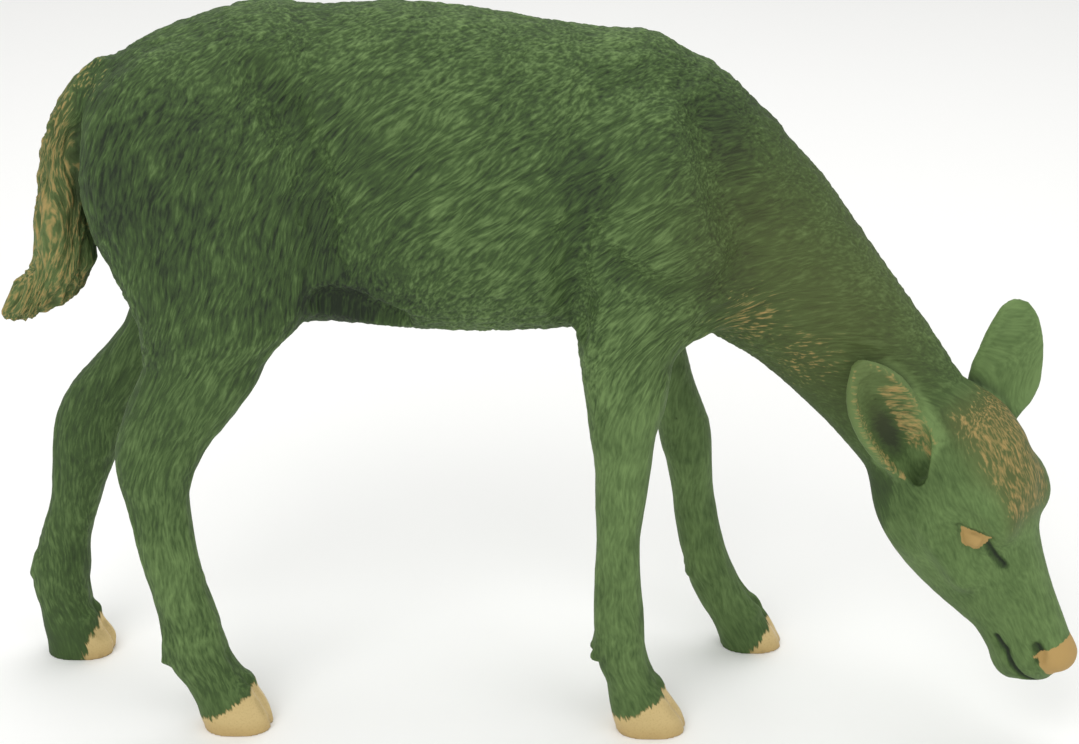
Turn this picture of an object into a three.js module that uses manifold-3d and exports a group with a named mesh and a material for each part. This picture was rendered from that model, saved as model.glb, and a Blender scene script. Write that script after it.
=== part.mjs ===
// Grazing deer statue, cast in resin as one piece and standing on its own four hooves.
// Millimetres. +Z is up, +X runs towards the head, -Y is the side with the head turned to it.
import * as THREE from "three";
import Module from "manifold-3d";

// Sizes that drive the shape
const BACK_HEIGHT = 430.5; // highest point of the croup
const CHEST_HALF = 58; // half the width of the ribs
const HEAD_TURN = 33; // degrees, head turned to the near side
const HEAD_PITCH = 61; // degrees, nose down
const HEAD_ROLL = 5; // degrees, far ear up
const POLL = [233, -28, 210]; // where the skull meets the neck
const EAR_WALL = 3.5;
const EYE_RADIUS = 11;
const CLEFT = 2.8; // radius of the groove between the two toes
const SOLE_DEPTH = -10; // the legs run on below the floor and are cut at z = 0
const CENTRE = [-4.4, -9.8]; // middle of the whole deer, moved to x = 0, y = 0

const STEP = 3; // spacing of the points the skin is found on
const FACES = 9400; // faces kept in the finished skin
const REACH = 28; // how far from a form its skin is looked for
const FAR = 60; // distance given to a point that no form comes near

// Trunk, rows along x: x, belly z, back z, middle y, half width
const TRUNK = [
  [-250, 325, 366, 0, 12], [-246, 308, 382, 0, 26], [-236, 290, 395, 0, 38], [-215, 268, 410, 0, 47],
  [-182, 254, 423, 0, 51], [-146, 250, BACK_HEIGHT, 0, 50], [-118, 249, 428.5, 0, 51],
  [-80, 246, 430, 0, CHEST_HALF - 2], [-40, 244, 427, 0, CHEST_HALF], [0, 245, 420.5, 0, CHEST_HALF - 2],
  [33, 247, 416, 0, 50], [56, 249, 415, 0, 44], [80, 250, 404, 0, 40], [105, 256, 386, 0, 34],
  [125, 280, 360, 0, 25],
];

// Neck, rows along its own slope: distance, throat, nape, middle, half width
const NECK = [
  [-45, -55, 51, 0, 38], [0, -62, 59, 0, 40], [40, -56, 59, -1, 40], [70, -47, 56, -3, 38],
  [100, -38, 52.5, -7, 35], [130, -34, 49.5, -12, 32], [160, -32, 46, -18, 30], [190, -32, 39.5, -24, 29],
  [205, -30, 32, -26, 26],
];

// Legs, rows up from the floor: z, back x, front x, middle y, half width
const NEAR_FORE = [
  [SOLE_DEPTH, 46, 88, -46, 15], [0, 46, 88, -46, 15], [8, 44, 86, -46, 15], [18, 42, 80, -45.5, 14.5],
  [32, 40, 71, -45, 13.5], [46, 35, 65, -45, 13.5], [59, 33, 62, -45, 14.5], [73, 32, 61.5, -44, 13],
  [100, 32, 59, -44, 11.5], [126, 33, 58, -43, 11.5], [152, 32, 61, -43, 13], [164, 32, 62.5, -42, 14.5],
  [177, 31, 64, -42, 15], [190, 29, 65, -42, 16], [214, 26, 71, -41, 18], [238, 23, 74, -40, 20],
  [258, 22, 78, -38, 21], [285, 24, 80, -33, 20], [312, 32, 72, -26, 15], [335, 42, 62, -18, 8],
];
const FAR_FORE = [
  [SOLE_DEPTH, 117, 156, 49, 15], [0, 117, 156, 49, 15], [8, 115, 153, 48.5, 15], [18, 111, 148, 48, 14.5],
  [34, 102, 137, 47, 13.5], [47, 96, 128, 46, 13.5], [62, 92, 121, 45, 14.5], [77, 88, 116, 44, 13],
  [100, 84, 110.5, 43, 11.5], [121, 81, 107, 41, 12], [136, 78, 106, 40, 13.5], [150, 74, 105, 39, 14.5],
  [164, 71, 103, 38, 14.5], [178, 67, 98, 37, 15], [192, 61, 93, 36, 16], [215, 48, 87, 34, 19],
  [238, 36, 83, 34, 21], [260, 26, 84, 34, 21], [285, 24, 82, 32, 20], [312, 32, 72, 26, 15],
  [335, 42, 62, 18, 8],
];
const NEAR_HIND = [
  [SOLE_DEPTH, -202, -161, -43, 15], [0, -202, -161, -43, 15], [8, -204, -162, -43, 15],
  [16, -206, -165, -42, 14.5], [30, -212, -173, -42, 13.5], [44, -220, -182, -42, 14],
  [57, -223, -186, -42, 14.5], [71, -224, -189, -41, 13], [98, -229, -196, -41, 12],
  [124, -234, -200, -40, 12], [150, -238, -201.5, -39, 13.5], [163, -240.5, -199, -39, 15],
  [175, -241.5, -194, -39, 15.5], [188, -240, -186, -38, 16], [200, -236, -176, -38, 17.5],
  [213, -231, -166, -38, 19], [225, -225, -158, -38, 20], [237, -221, -152, -37, 21],
  [261, -222, -137, -37, 24], [285, -228, -130, -34, 24], [312, -230, -130, -29, 22],
  [345, -222, -145, -22, 16], [375, -205, -165, -14, 8],
];
const FAR_HIND = [
  [SOLE_DEPTH, -315, -273, 41, 15], [0, -315, -273, 41, 15], [8, -315, -272, 41, 15],
  [21, -316, -278, 40, 14.5], [34, -317, -284, 40, 13.5], [48, -319, -284, 39.5, 14],
  [64, -318, -282.5, 39, 14.5], [80, -313, -281, 39, 13], [109, -303, -272, 38, 12],
  [123, -300, -267, 37, 12.5], [137, -298, -261, 37, 14], [151, -296, -255, 36, 15],
  [165, -293.5, -250, 36, 15.5], [178, -289, -243, 36, 16], [192, -280, -234, 35, 17],
  [205, -268, -220, 35, 18], [218, -256, -205, 34, 19], [231, -246, -190, 34, 21],
  [250, -238, -165, 34, 23], [275, -232, -140, 33, 24], [312, -230, -130, 29, 22],
  [345, -222, -145, 22, 16], [375, -205, -165, 14, 8],
];

// Tail, rows up from its flicked tip: z, back x, front x, middle y, half width
const TAIL = [
  [249, -306, -290, -2, 4], [254, -307, -279, -2, 8], [261, -303, -267, -1, 11], [270, -297, -258, 0, 14],
  [278, -289, -254, 0, 16], [285, -285.5, -250, 0, 17], [295, -283.5, -250, 0, 18], [310, -282, -251, 0, 18],
  [330, -278, -246, 0, 17], [348, -274.5, -244, 0, 16], [365, -268.5, -240, 0, 15], [379, -261, -234, 0, 13],
  [390, -252, -226, 0, 10], [400, -240, -220, 0, 6],
];

// Skull, rows from the poll to the nose: distance, jaw, forehead, middle, half width
const SKULL = [
  [-8, -34, 2, 0, 16], [0, -43, 13, 0, 25], [10, -49, 21, 0, 31], [20, -53, 26, 0, 34], [38, -60, 30, 0, 35],
  [55, -67, 29.5, 0, 35], [70, -70, 25, 0, 34], [82, -68, 19, 0, 31], [95, -64, 15, 0, 27],
  [110, -57, 12.5, 0, 23], [125, -48, 11, 0, 20], [135, -42, 10.5, 0, 18.5], [145, -40, 10, 0, 18],
  [157, -39, 9, 0, 17.5], [166, -36, 4, 0, 15], [172, -29, -3, 0, 11], [176, -20, -10, 0, 5],
];

// Ear, rows from root to tip: share of the length, half width
const NEAR_EAR = [
  [-0.12, 4], [-0.04, 8], [0.06, 12.5], [0.18, 16], [0.34, 19], [0.5, 20], [0.66, 19], [0.8, 15.5],
  [0.91, 10.5], [1, 4],
];
const FAR_EAR = [
  [-0.1, 12], [0.05, 16], [0.18, 19.5], [0.34, 20.5], [0.5, 19], [0.66, 17], [0.8, 14], [0.9, 11],
  [0.97, 7], [1, 4],
];

// Grooves that follow the skin: radius, depth, softness and the points along each
const TUCK = [15, 6.5, 3, [[-126, 272], [-104, 266], [-84, 256]]]; // under the flank: x, z
const FACE_LINES = [ // on the cheek: along, up
  [1.9, 1.8, 2, [[79, 4], [88, 2], [97, 3]]], // tear crease
  [2.6, 2.6, 2.5, [[151, -1], [156, -1], [160, -3]]], // nostril
  [1.6, 1.5, 2, [[140, -22], [149, -20], [157, -21], [166, -20], [173, -17]]], // mouth
];

function sum(a, b) {
  return [a[0] + b[0], a[1] + b[1], a[2] + b[2]];
}

function times(a, k) {
  return [a[0] * k, a[1] * k, a[2] * k];
}

function dot(a, b) {
  return a[0] * b[0] + a[1] * b[1] + a[2] * b[2];
}

function cross(a, b) {
  return [a[1] * b[2] - a[2] * b[1], a[2] * b[0] - a[0] * b[2], a[0] * b[1] - a[1] * b[0]];
}

function unit(a) {
  return times(a, 1 / Math.hypot(...a));
}

// The part of a square to b, as a unit vector
function square(a, b) {
  return unit(sum(a, times(b, -dot(a, b))));
}

// Rows joined by a smooth curve that does not swing past them, read off at even steps
function curve(rows, count = 400) {
  const last = rows.length - 1;
  const width = rows[0].length - 1;
  const gap = rows.slice(1).map((row, i) => row[0] - rows[i][0]);
  const table = [];
  for (let c = 1; c <= width; c += 1) {
    const slope = gap.map((g, i) => (rows[i + 1][c] - rows[i][c]) / g);
    const turn = rows.map((row, i) => {
      if (i === 0) return slope[0];
      if (i === last) return slope[last - 1];
      if (slope[i - 1] * slope[i] <= 0) return 0;
      const before = 2 * gap[i] + gap[i - 1];
      const after = gap[i] + 2 * gap[i - 1];
      return (before + after) / (before / slope[i - 1] + after / slope[i]);
    });
    const column = new Float64Array(count);
    let i = 0;
    for (let k = 0; k < count; k += 1) {
      const t = rows[0][0] + ((rows[last][0] - rows[0][0]) * k) / (count - 1);
      while (i < last - 1 && t > rows[i + 1][0]) i += 1;
      const u = (t - rows[i][0]) / gap[i];
      const v = u * u;
      const w = v * u;
      column[k] =
        (2 * w - 3 * v + 1) * rows[i][c] +
        (w - 2 * v + u) * gap[i] * turn[i] +
        (3 * v - 2 * w) * rows[i + 1][c] +
        (w - v) * gap[i] * turn[i + 1];
    }
    table.push(column);
  }
  return table;
}

// A body whose sections across a straight axis follow a table of rows
function loft(origin, axis, up, side, rows, blend, { power = 2, cut = false } = {}) {
  const a = unit(axis);
  const u = square(up, a);
  const v = square(side, a);
  const [low, high, middle, half] = curve(rows);
  const start = rows[0][0];
  const length = rows[rows.length - 1][0] - start;
  const last = low.length - 1;
  const step = length / last;
  const lean = low.map((value, k) => {
    const p = Math.max(k - 1, 0);
    const q = Math.min(k + 1, last);
    const rise = (low[q] + high[q] - low[p] - high[p]) / 2 / ((q - p) * step);
    const drift = (middle[q] - middle[p]) / ((q - p) * step);
    return 1 / Math.hypot(1, rise, drift);
  });
  const corners = [];
  for (let k = 0; k <= last; k += 7) {
    for (const du of [low[k], high[k]]) {
      for (const dv of [middle[k] - half[k], middle[k] + half[k]]) {
        const along = times(a, start + k * step);
        corners.push(sum(sum(origin, along), sum(times(u, du), times(v, dv))));
      }
    }
  }
  const distance = (x, y, z) => {
    const q = [x - origin[0], y - origin[1], z - origin[2]];
    const s = dot(q, a);
    const inside = Math.min(Math.max(s, start), start + length);
    const f = (inside - start) / step;
    const i = Math.min(Math.floor(f), last - 1);
    const w = f - i;
    const lo = low[i] * (1 - w) + low[i + 1] * w;
    const hi = high[i] * (1 - w) + high[i + 1] * w;
    const mid = middle[i] * (1 - w) + middle[i + 1] * w;
    const wide = half[i] * (1 - w) + half[i + 1] * w;
    const du = dot(q, u) - (lo + hi) / 2;
    const dv = dot(q, v) - mid;
    const eu = Math.abs((2 * du) / (hi - lo));
    const ev = Math.abs(dv / wide);
    const e = Math.max((eu ** power + ev ** power) ** (1 / power), 1e-3);
    const radius = Math.hypot(du, dv) + 1e-6;
    const d = (radius - radius / e) * lean[i];
    const past = Math.abs(s - inside);
    return past > 0 ? Math.hypot(Math.max(d, 0), past) : d;
  };
  return { distance, blend, cut, box: boxOf(corners) };
}

// An ellipsoid: half sizes along its forward, side and up directions
function ball(centre, radii, blend, { forward = [1, 0, 0], up = [0, 0, 1], cut = false } = {}) {
  const a = unit(forward);
  const u = square(up, a);
  const v = cross(u, a);
  const axes = [a, v, u];
  const reach = [0, 1, 2].map((k) => Math.hypot(a[k] * radii[0], v[k] * radii[1], u[k] * radii[2]));
  const distance = (x, y, z) => {
    const q = [x - centre[0], y - centre[1], z - centre[2]];
    let near = 0;
    let steep = 0;
    for (let k = 0; k < 3; k += 1) {
      const t = dot(q, axes[k]) / radii[k];
      near += t * t;
      steep += (t / radii[k]) ** 2;
    }
    const k0 = Math.sqrt(near);
    return (k0 * (k0 - 1)) / (Math.sqrt(steep) + 1e-9);
  };
  return { distance, blend, cut, box: boxOf([sum(centre, times(reach, -1)), sum(centre, reach)]) };
}

// A tapered rod with round ends
function bone(from, r0, to, r1, blend, { cut = false } = {}) {
  const ab = sum(to, times(from, -1));
  const long = dot(ab, ab);
  const distance = (x, y, z) => {
    const q = [x - from[0], y - from[1], z - from[2]];
    const t = Math.min(Math.max(dot(q, ab) / long, 0), 1);
    return Math.hypot(q[0] - ab[0] * t, q[1] - ab[1] * t, q[2] - ab[2] * t) - (r0 + (r1 - r0) * t);
  };
  const r = Math.max(r0, r1);
  const ends = [from, to].flatMap((p) => [sum(p, [r, r, r]), sum(p, [-r, -r, -r])]);
  return { distance, blend, cut, box: boxOf(ends) };
}

function boxOf(points) {
  const low = [0, 1, 2].map((k) => Math.min(...points.map((p) => p[k])));
  const high = [0, 1, 2].map((k) => Math.max(...points.map((p) => p[k])));
  return { low, high };
}

const X = [1, 0, 0];
const Y = [0, 1, 0];
const Z = [0, 0, 1];
const ORIGIN = [0, 0, 0];
const GROOVE_START = 80; // a groove's skin is looked for from this far out
const GROOVE_STEP = 0.5;

// The head's own directions: forward along the nose, far cheek, up out of the forehead
function headAxes() {
  const [turn, pitch, roll] = [HEAD_TURN, HEAD_PITCH, HEAD_ROLL].map((d) => (d * Math.PI) / 180);
  const level = Math.cos(pitch);
  const forward = [level * Math.cos(turn), -level * Math.sin(turn), -Math.sin(pitch)];
  const across = [Math.sin(turn), Math.cos(turn), 0];
  const above = cross(forward, across);
  const side = sum(times(across, Math.cos(roll)), times(above, Math.sin(roll)));
  return { forward, side, up: cross(forward, side) };
}

const HEAD = headAxes();

// A point given from the poll: towards the nose, towards the far cheek, out of the forehead
function onHead(along, side, up) {
  return sum(
    sum(POLL, times(HEAD.forward, along)),
    sum(times(HEAD.side, side), times(HEAD.up, up)),
  );
}

// Cuts that follow the skin of some forms along a path; place turns a path row and a reach
// out from the middle into a point
function groove(forms, place, [radius, depth, blend, path]) {
  const spots = path.map(([a, b]) => {
    let out = GROOVE_START;
    while (out > 0 && skin(forms, ...place(a, out, b)) >= 0) out -= GROOVE_STEP;
    return place(a, out + radius - depth, b);
  });
  return spots.slice(1).map((spot, i) => bone(spots[i], radius, spot, radius, blend, { cut: true }));
}

function trunkForms() {
  const forms = [
    loft(ORIGIN, X, Z, Y, TRUNK, 1, { power: 2.15 }),
    loft([85, 0, 325], [0.68, 0, -0.733], [0.733, 0, 0.68], Y, NECK, 14),
  ];
  forms.push(...[-1, 1].flatMap((s) => groove(forms, (x, out, z) => [x, s * out, z], TUCK)));
  for (const s of [-1, 1]) {
    forms.push(
      ball([60, s * 34, 318], [47, 25, 68], 14, { forward: [1, 0, 0.1], up: [-0.2, 0, 1] }), // shoulder
      ball([74, s * 34, 284], [32, 23, 32], 22), // point of the shoulder
      ball([47, s * 39, 266], [23, 19, 36], 16, { up: [0.1, 0, 1] }), // upper arm
      ball([-186, s * 29, 336], [62, 29, 76], 11, { up: [-0.05, 0, 1] }), // haunch
      ball([-173, s * 33, 284], [45, 23, 40], 20, { forward: [1, 0, -0.3], up: [0.3, 0, 1] }), // stifle
      ball([-150, s * 24, 405], [22, 14, 14], 22), // hip bone
    );
  }
  return forms;
}

function legForms() {
  return [NEAR_FORE, FAR_FORE, NEAR_HIND, FAR_HIND].map((rows) =>
    loft(ORIGIN, Z, X, Y, rows, 10, { power: 2.3 }),
  );
}

// The fold behind the elbow and the hollow in front of the arm
function foldForms() {
  return [-1, 1].flatMap((s) => [
    bone([14, s * 62, 292], 4, [16, s * 60, 250], 5, 5, { cut: true }),
    ball([103, s * 54, 258], [20, 13, 18], 8, { cut: true }),
  ]);
}

// The groove down the front of a foot between its toes, along the given points
function cleft(points, side) {
  return points.slice(1).map((p, i) =>
    bone([points[i][0], side, points[i][1]], CLEFT, [p[0], side, p[1]], CLEFT, 2, { cut: true }),
  );
}

// The two small claws behind a foot, at x and z from a to b
function dewclaws(a, b, side) {
  return [-6, 6].map((s) => bone([a[0], side + s, a[1]], 5, [b[0], side + s, b[1]], 3, 4));
}

function footForms() {
  return [
    ...dewclaws([39, 62], [33, 53], -45),
    ...dewclaws([99, 70], [95, 59], 45),
    ...dewclaws([-216, 58], [-221, 48], -42),
    ...dewclaws([-311, 69], [-316, 61], 39.5),
    ball([67, -45, 27], [7, 13, 5], 5),
    ball([-178, -42, 27], [7, 13, 5], 5),
    ball([134, 47, 28], [7, 13, 5], 5),
    ball([-287, 40, 28], [7, 13, 5], 5),
    ...cleft([[65, 52], [72.5, 32], [81, 18], [89, 6], [90, SOLE_DEPTH]], -49),
    ...cleft([[127, 50], [139, 32], [149, 18], [157, 6], [158, SOLE_DEPTH]], 46),
    ...cleft([[-184, 52], [-171.5, 31], [-164, 17], [-160, 6], [-159, SOLE_DEPTH]], -45),
    ...cleft([[-283, 52], [-281.5, 34], [-277, 20], [-271, 6], [-271, SOLE_DEPTH]], 40),
  ];
}

// A leaf-shaped ear, hollowed on the side it opens to
function ear(root, tip, rows, bow, opening) {
  const run = sum(tip, times(root, -1));
  const axis = unit(run);
  const stretch = Math.hypot(...run);
  const open = square(opening, axis);
  const across = cross(open, axis);
  const wide = across[0] < 0 ? times(across, -1) : across;
  const shift = (t) => bow * Math.max(0, 1 - ((t - 0.47) / 0.5) ** 2);
  const sunk = (t) => -1.5 - 25 * Math.max(0.1 - t, 0); // the root sinks into the head
  const shell = rows.map(([t, h]) => [
    t * stretch, shift(t) - h, shift(t) + h, sunk(t), Math.min(Math.max(h * 0.45, 3.2), 7.5),
  ]);
  const bowl = rows.slice(1, -1).map(([t, h]) => [
    t * stretch, shift(t) - h + EAR_WALL, shift(t) + h - EAR_WALL, 5.5, Math.min(h * 0.46, 8),
  ]);
  return [
    loft(root, axis, wide, open, shell, 5),
    loft(root, axis, wide, open, bowl, 2, { cut: true }),
  ];
}

function headForms() {
  const own = { forward: HEAD.forward, up: HEAD.up };
  const forms = [loft(POLL, HEAD.forward, HEAD.up, HEAD.side, SKULL, 14, { power: 2.3 })];
  for (const s of [-1, 1]) {
    forms.push(
      ball(onHead(50, s * 22, -37), [27, 12, 23], 12, own), // cheek
      ball(onHead(66, s * 24, 13), [15, 9, 9], 14, own), // brow
      bone(onHead(98, s * 25, -22), 6, onHead(60, s * 34, -24), 5, 10), // cheek bone
    );
  }
  forms.push(
    ball(onHead(164, 0, 1), [9, 13, 9], 6, own), // nose pad
    ball(onHead(161.5, 0, -31), [12.5, 11, 10], 6, own), // chin
    ...ear(onHead(31, -28, -20), onHead(-46, -62, -4), NEAR_EAR, 0, [0, -0.914, 0.404]),
    ...ear(onHead(22, 33.5, 0), onHead(-31, 58, 31.5), FAR_EAR, 2.5, [0, 0.914, -0.404]),
  );
  for (const s of [-1, 1]) {
    forms.push(
      ball(onHead(74, s * 36, -2), [14, 5.5, 14], 9, { ...own, cut: true }), // eye socket
      ball(onHead(74.5, s * 22.5, -2), [EYE_RADIUS, 9, EYE_RADIUS - 1], 2.5, own),
    );
  }
  for (const s of [-1, 1]) {
    const onCheek = (along, out, up) => onHead(along, s * out, up);
    for (const line of FACE_LINES) forms.push(...groove(forms, onCheek, line));
  }
  return forms;
}

const FORMS = [
  ...trunkForms(),
  ...legForms(),
  loft(ORIGIN, Z, X, Y, TAIL, 6),
  ...foldForms(),
  ...headForms(),
  ...footForms(),
];

// Distances join into one skin, rounded over k where two forms meet
function join(a, b, k) {
  const h = Math.min(Math.max(0.5 + (0.5 * (b - a)) / k, 0), 1);
  return b + (a - b) * h - k * h * (1 - h);
}

function add(form, others, x, y, z) {
  const d = form.distance(x, y, z);
  return form.cut ? -join(-others, d, form.blend) : join(others, d, form.blend);
}

function margin(form) {
  return form.cut ? form.blend + 4 : REACH;
}

// Distance of a point from the skin of some forms
function skin(forms, x, y, z) {
  let d = FAR;
  for (const form of forms) {
    const m = margin(form);
    const { low, high } = form.box;
    if (x < low[0] - m || y < low[1] - m || z < low[2] - m) continue;
    if (x > high[0] + m || y > high[1] + m || z > high[2] + m) continue;
    d = add(form, d, x, y, z);
  }
  return d;
}

// Distances on a regular lattice round the whole deer
function lattice() {
  const all = boxOf(FORMS.filter((f) => !f.cut).flatMap((f) => [f.box.low, f.box.high]));
  const low = all.low.map((v) => v - 2 * STEP);
  const size = all.high.map((v, k) => Math.ceil((v + 2 * STEP - low[k]) / STEP) + 1);
  const values = new Float32Array(size[0] * size[1] * size[2]).fill(FAR);
  for (const form of FORMS) {
    const m = margin(form);
    const from = form.box.low.map((v, k) => Math.max(Math.floor((v - m - low[k]) / STEP), 0));
    const to = form.box.high.map((v, k) => Math.min(Math.ceil((v + m - low[k]) / STEP) + 1, size[k]));
    for (let i = from[0]; i < to[0]; i += 1) {
      for (let j = from[1]; j < to[1]; j += 1) {
        for (let k = from[2]; k < to[2]; k += 1) {
          const at = (i * size[1] + j) * size[2] + k;
          values[at] = add(form, values[at], low[0] + i * STEP, low[1] + j * STEP, low[2] + k * STEP);
        }
      }
    }
  }
  return { low, size, values };
}

// Corners of a cell that lie across a face or across the whole cell from each other
const FACE_CORNERS = [[0, 1, 3, 2], [4, 5, 7, 6], [0, 1, 5, 4], [2, 3, 7, 6], [0, 2, 6, 4], [1, 3, 7, 5]];
const CELL_CORNERS = [[0, 7], [1, 6], [2, 5], [3, 4]];

// The corners of a cell that meet others of their kind only point to point, if any do
function touching(inside) {
  for (const face of FACE_CORNERS) {
    const [a, b, c, d] = face.map((corner) => inside[corner]);
    if (a === c && b === d && a !== b) return face;
  }
  for (const pair of CELL_CORNERS) {
    const kind = inside[pair[0]];
    const alone = inside.every((v, corner) => (v === kind) === pair.includes(corner));
    if (alone) return pair;
  }
  return null;
}

// Lattice values close to nothing change sign where the skin would touch itself at a point
function partTouching({ size, values }) {
  const offsets = [0, 1, 2, 3, 4, 5, 6, 7].map(
    (c) => ((c & 1) * size[1] + ((c >> 1) & 1)) * size[2] + ((c >> 2) & 1),
  );
  for (let pass = 0; pass < 12; pass += 1) {
    let changed = false;
    for (let i = 0; i < size[0] - 1; i += 1) {
      for (let j = 0; j < size[1] - 1; j += 1) {
        for (let k = 0; k < size[2] - 1; k += 1) {
          const at = (i * size[1] + j) * size[2] + k;
          const inside = offsets.map((o) => values[at + o] < 0);
          const count = inside.filter(Boolean).length;
          if (count < 2 || count > 6) continue;
          const corners = touching(inside);
          if (!corners) continue;
          const places = corners.map((c) => at + offsets[c]);
          const least = places.reduce((p, q) => (Math.abs(values[q]) < Math.abs(values[p]) ? q : p));
          values[least] = values[least] < 0 ? 0.02 : -0.02;
          changed = true;
        }
      }
    }
    if (!changed) break;
  }
}

// One point in every cell the skin passes through, and two faces across every edge it crosses
function netting({ low, size, values }) {
  const index = (i, j, k) => (i * size[1] + j) * size[2] + k;
  const cellPoint = new Int32Array(values.length).fill(-1);
  const points = [];
  const faces = [];
  for (let i = 0; i < size[0] - 1; i += 1) {
    for (let j = 0; j < size[1] - 1; j += 1) {
      for (let k = 0; k < size[2] - 1; k += 1) {
        const total = [0, 0, 0];
        let crossings = 0;
        for (let corner = 0; corner < 8; corner += 1) {
          const c = [corner & 1, (corner >> 1) & 1, (corner >> 2) & 1];
          for (let axis = 0; axis < 3; axis += 1) {
            if (c[axis]) continue;
            const e = [...c];
            e[axis] = 1;
            const a = values[index(i + c[0], j + c[1], k + c[2])];
            const b = values[index(i + e[0], j + e[1], k + e[2])];
            if (a < 0 === b < 0) continue;
            c.forEach((value, n) => {
              total[n] += value + (n === axis ? a / (a - b) : 0);
            });
            crossings += 1;
          }
        }
        if (!crossings) continue;
        cellPoint[index(i, j, k)] = points.length;
        points.push([i, j, k].map((n, axis) => low[axis] + (n + total[axis] / crossings) * STEP));
      }
    }
  }
  for (let i = 1; i < size[0] - 1; i += 1) {
    for (let j = 1; j < size[1] - 1; j += 1) {
      for (let k = 1; k < size[2] - 1; k += 1) {
        const inside = values[index(i, j, k)] < 0;
        for (let axis = 0; axis < 3; axis += 1) {
          const e = [i, j, k];
          e[axis] += 1;
          if (values[index(...e)] < 0 === inside) continue;
          const p = (axis + 1) % 3;
          const q = (axis + 2) % 3;
          const ring = [[-1, -1], [0, -1], [0, 0], [-1, 0]].map(([dp, dq]) => {
            const cell = [i, j, k];
            cell[p] += dp;
            cell[q] += dq;
            return cellPoint[index(...cell)];
          });
          if (!inside) ring.reverse();
          faces.push([ring[0], ring[1], ring[2]], [ring[0], ring[2], ring[3]]);
        }
      }
    }
  }
  return { points, faces };
}

// Moves each point along the slope of the distance onto the skin itself
function settle(points) {
  const e = 0.5;
  for (const p of points) {
    const d = skin(FORMS, ...p);
    const slope = [[e, 0, 0], [0, e, 0], [0, 0, e]].map(
      (shift) => (skin(FORMS, ...sum(p, shift)) - skin(FORMS, ...sum(p, times(shift, -1)))) / (2 * e),
    );
    const steep = dot(slope, slope);
    if (steep < 0.05) continue;
    const move = Math.min(Math.max(d / steep, -STEP / 3), STEP / 3);
    for (let k = 0; k < 3; k += 1) p[k] -= slope[k] * move;
  }
}

// A heap of [cost, ...] entries, cheapest first
class Heap {
  constructor() {
    this.items = [];
  }

  push(item) {
    const { items } = this;
    let i = items.push(item) - 1;
    while (i > 0) {
      const parent = (i - 1) >> 1;
      if (items[parent][0] <= items[i][0]) break;
      [items[parent], items[i]] = [items[i], items[parent]];
      i = parent;
    }
  }

  pop() {
    const { items } = this;
    const top = items[0];
    const last = items.pop();
    if (items.length) {
      items[0] = last;
      let i = 0;
      for (;;) {
        let least = i;
        for (const child of [2 * i + 1, 2 * i + 2]) {
          if (child < items.length && items[child][0] < items[least][0]) least = child;
        }
        if (least === i) break;
        [items[least], items[i]] = [items[i], items[least]];
        i = least;
      }
    }
    return top;
  }
}

// Ten numbers that measure the squared distance of a point from a plane
function planeSum(n, d, weight) {
  return [
    n[0] * n[0], n[0] * n[1], n[0] * n[2], n[0] * d, n[1] * n[1],
    n[1] * n[2], n[1] * d, n[2] * n[2], n[2] * d, d * d,
  ].map((v) => v * weight);
}

function planeCost(q, [x, y, z]) {
  return (
    q[0] * x * x + 2 * q[1] * x * y + 2 * q[2] * x * z + 2 * q[3] * x + q[4] * y * y +
    2 * q[5] * y * z + 2 * q[6] * y + q[7] * z * z + 2 * q[8] * z + q[9]
  );
}

// The point that lies nearest all the planes, or the middle of the edge if they do not fix one
function bestPoint(q, a, b) {
  const middle = times(sum(a, b), 0.5);
  const m = new THREE.Matrix3().set(q[0], q[1], q[2], q[1], q[4], q[5], q[2], q[5], q[7]);
  const size = q[0] + q[4] + q[7];
  if (Math.abs(m.determinant()) < 1e-4 * size ** 3) return middle;
  const v = new THREE.Vector3(-q[3], -q[6], -q[8]).applyMatrix3(m.invert());
  const best = [v.x, v.y, v.z];
  const far = Math.hypot(...sum(best, times(middle, -1)));
  return far > 2 * Math.hypot(...sum(a, times(b, -1))) ? middle : best;
}

function faceNormal(a, b, c) {
  return cross(sum(b, times(a, -1)), sum(c, times(a, -1)));
}

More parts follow.
